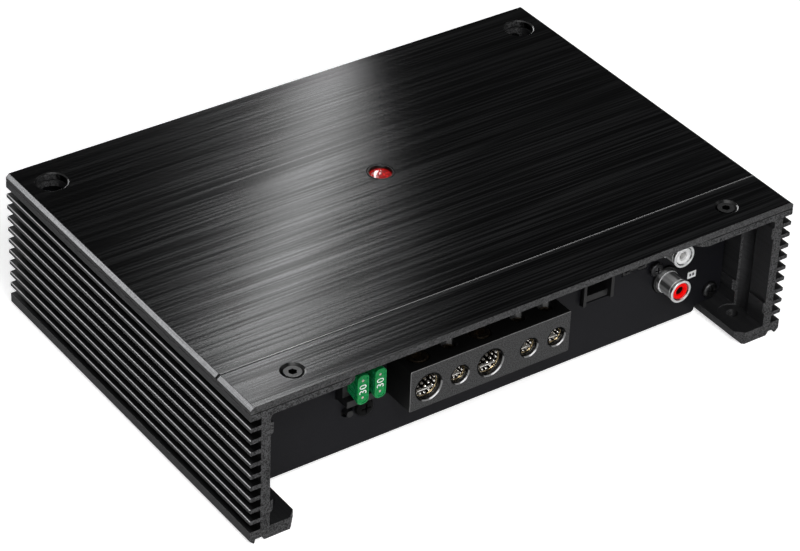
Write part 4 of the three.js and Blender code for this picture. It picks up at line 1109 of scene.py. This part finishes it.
# ---------- fuses ----------
def numeral(name, text, height, material, body, slot, place_at, turn, spacing=1.0, embolden=0.0):
    """A thin raised numeral, centred on a point given in millimetres."""
    curve = bpy.data.curves.new(name, "FONT")
    curve.body = text
    curve.size = 1.0
    curve.space_character = spacing
    curve.offset = embolden
    curve.extrude = NUMERAL_DEPTH
    curve.resolution_u = 4
    source = bpy.data.objects.new(name, curve)
    bpy.context.scene.collection.objects.link(source)
    evaluated = source.evaluated_get(bpy.context.evaluated_depsgraph_get())
    shape = bmesh.new()
    shape.from_mesh(evaluated.to_mesh())
    evaluated.to_mesh_clear()
    bpy.data.objects.remove(source)
    bpy.data.curves.remove(curve)
    corners = [v.co.copy() for v in shape.verts]
    low = Vector([min(c[i] for c in corners) for i in range(3)])
    high = Vector([max(c[i] for c in corners) for i in range(3)])
    scale = height / (high.y - low.y)
    bmesh.ops.translate(shape, vec=-(low + high) / 2, verts=shape.verts)
    bmesh.ops.scale(shape, vec=(scale, scale, 1.0), verts=shape.verts)
    moved(shape, *place_at, turn)
    return piece(name, shape, material, body)


def both_test_points(make_shape):
    """The same turned shape at both of a fuse's test points."""
    return [moved(make_shape(), 0, way * FUSE_TEST_POINT, 0) for way in (-1, 1)]


def fuse_head(half_w, half_h):
    """The fuse's rounded front, with a shallow dish and two test holes."""
    head = prism(rounded_outline(half_w, half_h, half_w - 0.4, 8), -FUSE_HEAD, 0)
    rounding = {"offset": FUSE_RIM, "segments": 3, "affect": "EDGES", "profile": 0.5, "clamp_overlap": True}
    bmesh.ops.bevel(head, geom=head.edges[:], **rounding)
    dish = prism(rounded_outline(half_w - 0.6, half_h - 0.6, half_w - 1.0, 8), -FUSE_RIM, 0.5)
    return combined(head, [dish, *both_test_points(lambda: cylinder(0.5, -0.9, 0.5))])


def fuse_neck(half_w, half_h, depth):
    """The fuse's body behind its head, getting shorter smoothly towards the blades."""
    neck = bmesh.new()
    rows = []
    steps = 6
    for i in range(steps + 1):
        share = i / steps
        ease = share * share * (3 - 2 * share)
        reach = half_h - 0.7 - (FUSE_TAPER - 0.7) * ease
        z = -FUSE_HEAD + 0.1 - (depth - FUSE_HEAD + 0.1) * share
        rows.append([neck.verts.new((x, y, z)) for x, y in rounded_outline(half_w, reach, 0.5, 4)])
    neck.faces.new(rows[0])
    neck.faces.new(list(reversed(rows[-1])))
    for upper, lower in zip(rows, rows[1:]):
        skin(neck, upper, lower)
    bmesh.ops.recalc_face_normals(neck, faces=neck.faces)
    return neck


def fuse_pocket(name, front, depth):
    """The space inside the fuse that its metal element takes."""
    low, high, _ = box_mm(f"{name}_element")
    half_w = (high.x - low.x) / 2 + GAP
    half_h = (high.z - low.z) / 2 + GAP
    return slab(-half_w, half_w, -half_h, half_h, -depth - 1, front - low.y + GAP)


def make_fuse(side):
    """A blade fuse's moulding with its two ribs, its test points and its rating."""
    name = f"fuse_{side}"
    low, high, centre = box_mm(name)
    half_w, half_h = (high.x - low.x) / 2, (high.z - low.z) / 2
    depth = high.y - low.y
    neck_w = half_w - FUSE_SHOULDER
    rib_w = neck_w + FUSE_RIB_HEIGHT
    ribs = [
        slab(-rib_w, rib_w, y - 0.25, y + 0.25, -depth + 0.4, -FUSE_HEAD, 0.08, 1)
        for y in (-FUSE_RIB, FUSE_RIB)
    ]
    body = combined(fuse_neck(neck_w, half_h, depth), [fuse_head(half_w, half_h), *ribs], "UNION")
    body = on_front(combined(body, [fuse_pocket(name, low.y, depth)]), centre, low.y)
    piece(f"{name}_fine", body, "fuse_green", name, [name], smooth=32)
    dot = [(0, -0.8), (0.46, -0.8), (0.46, -0.3), (0.3, -0.2), (0, -0.17)]
    dots = on_front(together(*both_test_points(lambda: lathe(dot, 20))), centre, low.y)
    piece(f"{name}_test_points", dots, "test_point", name)
    upward = TO_FRONT @ Matrix.Rotation(math.radians(90), 4, "Z")
    place_at = (centre.x, low.y + FUSE_RIM - 0.01, centre.z)
    look = {"spacing": 1.05, "embolden": -0.004}
    numeral(f"{name}_rating", "30", FUSE_NUMERAL, "white_ink", name, "rca_white", place_at, upward, **look)


# ---------- phono jacks ----------
def make_jack_shell(level):
    """The nickel shell, with a collar against the panel, a shallow groove and a rounded rim."""
    barrel = f"rca_barrel_{level}"
    low, high, _ = box_mm(barrel)
    rim = (high.x - low.x) / 2
    front = PANEL_FACE - low.y
    back = PANEL_FACE - high.y
    neck = RCA_SHELL - 0.12
    profile = [(RCA_BORE, back), (RCA_SHELL, back), (RCA_SHELL, 0.8), (rim, 0.9), (rim, 2.1)]
    profile += [(RCA_SHELL, 2.25), (RCA_SHELL, front - 1.7), (neck, front - 1.6), (neck, front - 1.4)]
    profile += [(rim - 0.1, front - 1.2)]
    profile += arc(rim - 0.35, front - 0.35, 0.35, 0, 90, 5)
    profile += arc(RCA_BORE + 0.2, front - 0.2, 0.2, 90, 180, 4)
    profile += [(RCA_BORE, back)]
    shape = on_front(lathe(profile, 72), middle_mm(barrel), PANEL_FACE)
    piece(f"{barrel}_fine", shape, "shell_nickel", "housing", [barrel], smooth=30)


def make_jack_insert(level):
    """The coloured insert, a liner of painted shade in its hole, and the pin contact inside that."""
    insert = f"rca_insert_{level}"
    colour = "rca_red" if level == "lower" else "rca_white"
    finish = "bore_shade_dark" if level == "lower" else "bore_shade_grey"
    low, high, centre = box_mm(insert)
    face = PANEL_FACE - low.y
    back = PANEL_FACE - high.y
    radius = (high.x - low.x) / 2
    profile = [(0, back + 2), (RCA_PIN_HOLE, back + 2), (RCA_PIN_HOLE, face - 0.5)]
    profile += arc(RCA_PIN_HOLE + 0.45, face - 0.5, 0.45, 180, 90, 5)
    profile += arc(radius - 0.3, face - 0.35, 0.3, 90, 0, 4)
    profile += [(radius, back), (0, back)]
    shape = on_front(lathe(profile, 64), centre, PANEL_FACE)
    piece(f"{insert}_fine", shape, colour, "housing", [insert], smooth=40)

    # painted shade: a dark liner in the pin hole, near black in the red jack and grey in the white one
    mouth, floor = face - 1.1, face - 4.6
    outside, inside = RCA_PIN_HOLE - 0.02, RCA_PIN_HOLE - 0.15
    liner = [(0, floor), (outside, floor), (outside, mouth), (inside, mouth)]
    liner += [(inside, floor + 0.15), (0, floor + 0.15)]
    shape = on_front(lathe(liner, 40), centre, PANEL_FACE)
    piece(f"rca_bore_shade_liner_{level}", shape, finish, "housing")

    lip = face - 2.6
    sleeve = [(1.0, floor + 0.2), (1.3, floor + 0.2), (1.3, lip - 0.15), (1.15, lip)]
    sleeve += [(1.0, lip - 0.15), (1.0, floor + 0.2)]
    shape = on_front(lathe(sleeve, 40), centre, PANEL_FACE)
    piece(f"rca_pin_contact_{level}", shape, "plated_brass", "housing")


# ---------- sockets and controls ----------
def contact_row(node_name, places, half, y0, y1, z0, z1, rounding, steps=2):
    """Equal metal strips side by side, at places from a socket's middle."""
    centre = middle_mm(node_name)
    strips = []
    for dx in places:
        x = centre.x + dx
        strip = slab(x - half, x + half, y0, y1, z0, z1, rounding, steps)
        strips.append(moved(strip, 0, PANEL_FACE, centre.z))
    return together(*strips)


def make_socket_contacts():
    """Metal pins in the remote socket, and spring contacts on the high-level socket's tongue."""
    pins = contact_row("remote_socket", (-3, 0, 3), 0.5, 1.42, 5, 0.1, 1.1, 0.15)
    piece("remote_socket_pins", pins, "plated_brass", "housing")
    springs = contact_row("high_level_socket", (-3.75, -2.05, -0.35, 1.35), 0.4, 1.5, 6, 0.3, 0.62, 0.05, 1)
    piece("high_level_contacts", springs, "plated_brass", "housing")


def make_knob(name):
    """A fluted knob with a bore for its shaft, and a white pointer in the slot across its face."""
    node_name = f"{name}_knob"
    low, high, centre = box_mm(node_name)
    radius = (high.x - low.x) / 2
    length = high.y - low.y
    profile = [(0, 0), (radius - 0.15, 0), (radius, 0.15), (radius, length - 1.0)]
    profile += arc(radius - 0.55, length - 0.55, 0.55, 0, 90, 4)
    profile += [(0, length)]
    shape = lathe(profile, KNOB_FLUTES * 6, KNOB_FLUTES, FLUTE_DEPTH)
    slot = slab(-0.4, 0.4, -0.2, radius + 1, length - 0.7, length + 1)
    shape = on_front(combined(shape, [cylinder(KNOB_BORE, -1, length - 1.2, 32), slot]), centre, high.y)
    piece(f"{node_name}_fine", shape, "knob_black", node_name, [node_name])
    pointer = slab(-0.3, 0.3, 0.1, radius - 0.35, length - 0.75, length - 0.5, 0.05, 1)
    piece(f"{name}_pointer", on_front(pointer, centre, high.y), "white_ink", node_name)


def make_scale_marks():
    """Scale ticks round the knobs and end marks by the switch."""
    marks = []
    for name in ("gain", "low_pass", "bass"):
        centre = middle_mm(f"{name}_knob")
        for i in range(TICKS):
            angle = math.radians(TICK_STEP * (i - (TICKS - 1) / 2))
            end = LONG_TICK_END if i in (0, TICKS // 2, TICKS - 1) else TICK_END
            tick = slab(-TICK_HALF_WIDTH, TICK_HALF_WIDTH, TICK_START, end, 0, SKIN)
            turn = TO_FRONT @ Matrix.Rotation(angle, 4, "Z")
            marks.append(moved(tick, centre.x, PANEL_FACE, centre.z, turn))
    lever = middle_mm("phase_switch_lever")
    for dx in (0, 2):
        dot = cylinder(SWITCH_DOT, 0, SKIN, 20)
        marks.append(moved(dot, lever.x + dx, PANEL_FACE, lever.z - SWITCH_DOT_DROP, TO_FRONT))
    piece("panel_scale_marks", together(*marks), "white_ink", "housing")


def make_jack_label():
    """The white box by the lower jack, with two plain marks."""
    jack = middle_mm("rca_barrel_lower")
    x, z = jack.x + LABEL_FROM_JACK[0], jack.z + LABEL_FROM_JACK[1]
    label = moved(prism(rounded_outline(*LABEL_HALF, 0.25, 4), 0, SKIN), x, PANEL_FACE, z, TO_FRONT)
    piece("jack_label", label, "white_ink", "housing")
    marks = []
    for dx in (-LABEL_MARK_OFFSET, LABEL_MARK_OFFSET):
        mark = prism(rounded_outline(*LABEL_MARK_HALF, 0.15, 4), SKIN, 2 * SKIN)
        marks.append(moved(mark, x + dx, PANEL_FACE, z, TO_FRONT))
    piece("jack_label_marks", together(*marks), "dark_ink", "housing")


# ---------- indicator ----------
def make_indicator():
    """The round red lens and the dark ring that holds it in the plate."""
    low, high, centre = box_mm("indicator_lens")
    radius = (high.x - low.x) / 2
    skirt = LENS_SKIRT
    top = high.z
    profile = [(0, low.z), (skirt, low.z), (skirt, top - 0.6), (radius, top - 0.6), (radius, top - 0.3)]
    for angle in (15, 35, 55, 75):
        rise = 0.3 * math.sin(math.radians(angle))
        profile.append((radius * math.cos(math.radians(angle)), top - 0.3 + rise))
    profile += [(0, top)]
    shape = moved(lathe(profile, 64), centre.x, centre.y, 0)
    piece("indicator_lens_fine", shape, "lens_red", "housing", ["indicator_lens"], smooth=60)
    plate = cad_high.z / MM
    ring = [(BEZEL_BORE, plate - 1.5), (BEZEL_RIM, plate - 1.5), (BEZEL_RIM, plate - 0.25)]
    ring += [(4.6, plate - 0.02), (4.25, plate - 0.02), (BEZEL_BORE, plate - 0.45), (BEZEL_BORE, plate - 1.5)]
    bezel = moved(lathe(ring, 72), centre.x, centre.y, 0)
    piece("indicator_bezel", bezel, "dark_trim", "housing")


# ---------- stage ----------
def make_camera():
    """The camera at the photograph's angle: azimuth, elevation and a small roll round the aim point."""
    azimuth, elevation, roll = (math.radians(a) for a in (CAMERA_AZIMUTH, CAMERA_ELEVATION, CAMERA_ROLL))
    level_share = math.cos(elevation)
    back = Vector((math.sin(azimuth) * level_share, -math.cos(azimuth) * level_share, math.sin(elevation)))
    level = Vector((0, 0, 1)).cross(back).normalized()
    upright = back.cross(level)
    right = level * math.cos(roll) + upright * math.sin(roll)
    up = upright * math.cos(roll) - level * math.sin(roll)
    data = bpy.data.cameras.new("camera")
    data.lens = CAMERA_LENS
    data.sensor_width = SENSOR
    camera = bpy.data.objects.new("camera", data)
    bpy.context.scene.collection.objects.link(camera)
    aim = Vector((0, 0, CAMERA_AIM_HEIGHT))
    place_at = aim + back * CAMERA_DISTANCE + right * CAMERA_PAN[0] + up * CAMERA_PAN[1]
    turn = Matrix((right, up, back)).transposed().to_4x4()
    camera.matrix_world = Matrix.Translation(place_at) @ turn
    bpy.context.scene.camera = camera
    return place_at


def area_light(name, location, target, width, height, power):
    data = bpy.data.lights.new(name, "AREA")
    data.shape = "RECTANGLE"
    data.size = width
    data.size_y = height
    data.energy = power
    made = bpy.data.objects.new(name, data)
    bpy.context.scene.collection.objects.link(made)
    made.location = location
    made.rotation_mode = "QUATERNION"
    made.rotation_quaternion = (Vector(target) - made.location).to_track_quat("-Z", "Y")
    return made


def band_light(camera_place):
    """A strip softbox that the cover plate mirrors as a band from its back edge to its front left corner."""
    plate = cad_high.z
    mirrored = Vector((camera_place.x, camera_place.y, 2 * plate - camera_place.z))
    ends = []
    for x, y in (BAND_BACK, BAND_FRONT):
        seen = Vector((x * MM, y * MM, plate))
        ends.append(seen + (seen - mirrored).normalized() * BAND_DISTANCE)
    along = (ends[1] - ends[0]) * (1 + BAND_OVERRUN)
    centre = ends[0] + along / 2
    made = area_light("band", centre, (0, 0, plate), BAND_WIDTH, along.length, BAND_POWER)
    toward = (Vector((0, 0, plate)) - centre).normalized()
    y_axis = (along - toward * along.dot(toward)).normalized()
    x_axis = y_axis.cross(-toward)
    made.matrix_world = Matrix.Translation(centre) @ Matrix((x_axis, y_axis, -toward)).transposed().to_4x4()


def make_stage():
    camera_place = make_camera()
    scene = bpy.context.scene
    scene.view_settings.view_transform = "Standard"
    world = bpy.data.worlds.new("studio")
    world.use_nodes = True
    scene.world = world
    work_on(world.node_tree, "Background")
    Paint.shader.inputs["Color"].default_value = (0.96, 0.97, 1.0, 1)
    link(mask_to(node("LightPath").outputs["Is Camera Ray"], 0.1, 1.0), "Strength")
    floor = scratch_object(slab(-6000, 6000, -6000, 6000, -20, 0), "floor")
    for vertex in floor.data.vertices:
        vertex.co *= MM
    tones = {"Base_Color": (0.85, 0.85, 0.85, 1), "Emission_Color": (1, 1, 1, 1)}
    white = start_material("floor_white", Roughness=0.9, **tones)
    link(mask_to(node("LightPath").outputs["Is Camera Ray"], 0, 0.6), "Emission Strength")
    floor.data.materials.append(white)
    band_light(camera_place)
    area_light("key", (-0.45, -1.2, 1.2), (0, 0, 0.02), 1.0, 0.8, 21)
    area_light("left_rim", (-1.25, 1.35, 1.0), (-0.1, 0, 0.03), 0.6, 0.4, 1.5)
    area_light("low_fill", (-1.15, -0.95, 0.28), (0.1, 0, 0.02), 0.5, 0.4, 3.5)
    area_light("right_fill", (1.4, -1.0, 0.8), (0.05, 0, 0.02), 0.8, 0.8, 3)
    area_light("back_fill", (0.3, 1.5, 0.13), (0, 0, 0.03), 1.0, 0.16, 4.5)


# ---------- the whole ----------
make_stage()
dress_cad()
make_panel_screws()
make_cover_screws()
make_terminals()
for fuse_side in ("left", "right"):
    make_fuse(fuse_side)
for jack_level in ("lower", "upper"):
    make_jack_shell(jack_level)
    make_jack_insert(jack_level)
make_socket_contacts()
for knob_name in ("gain", "low_pass", "bass"):
    make_knob(knob_name)
make_scale_marks()
make_jack_label()
make_indicator()
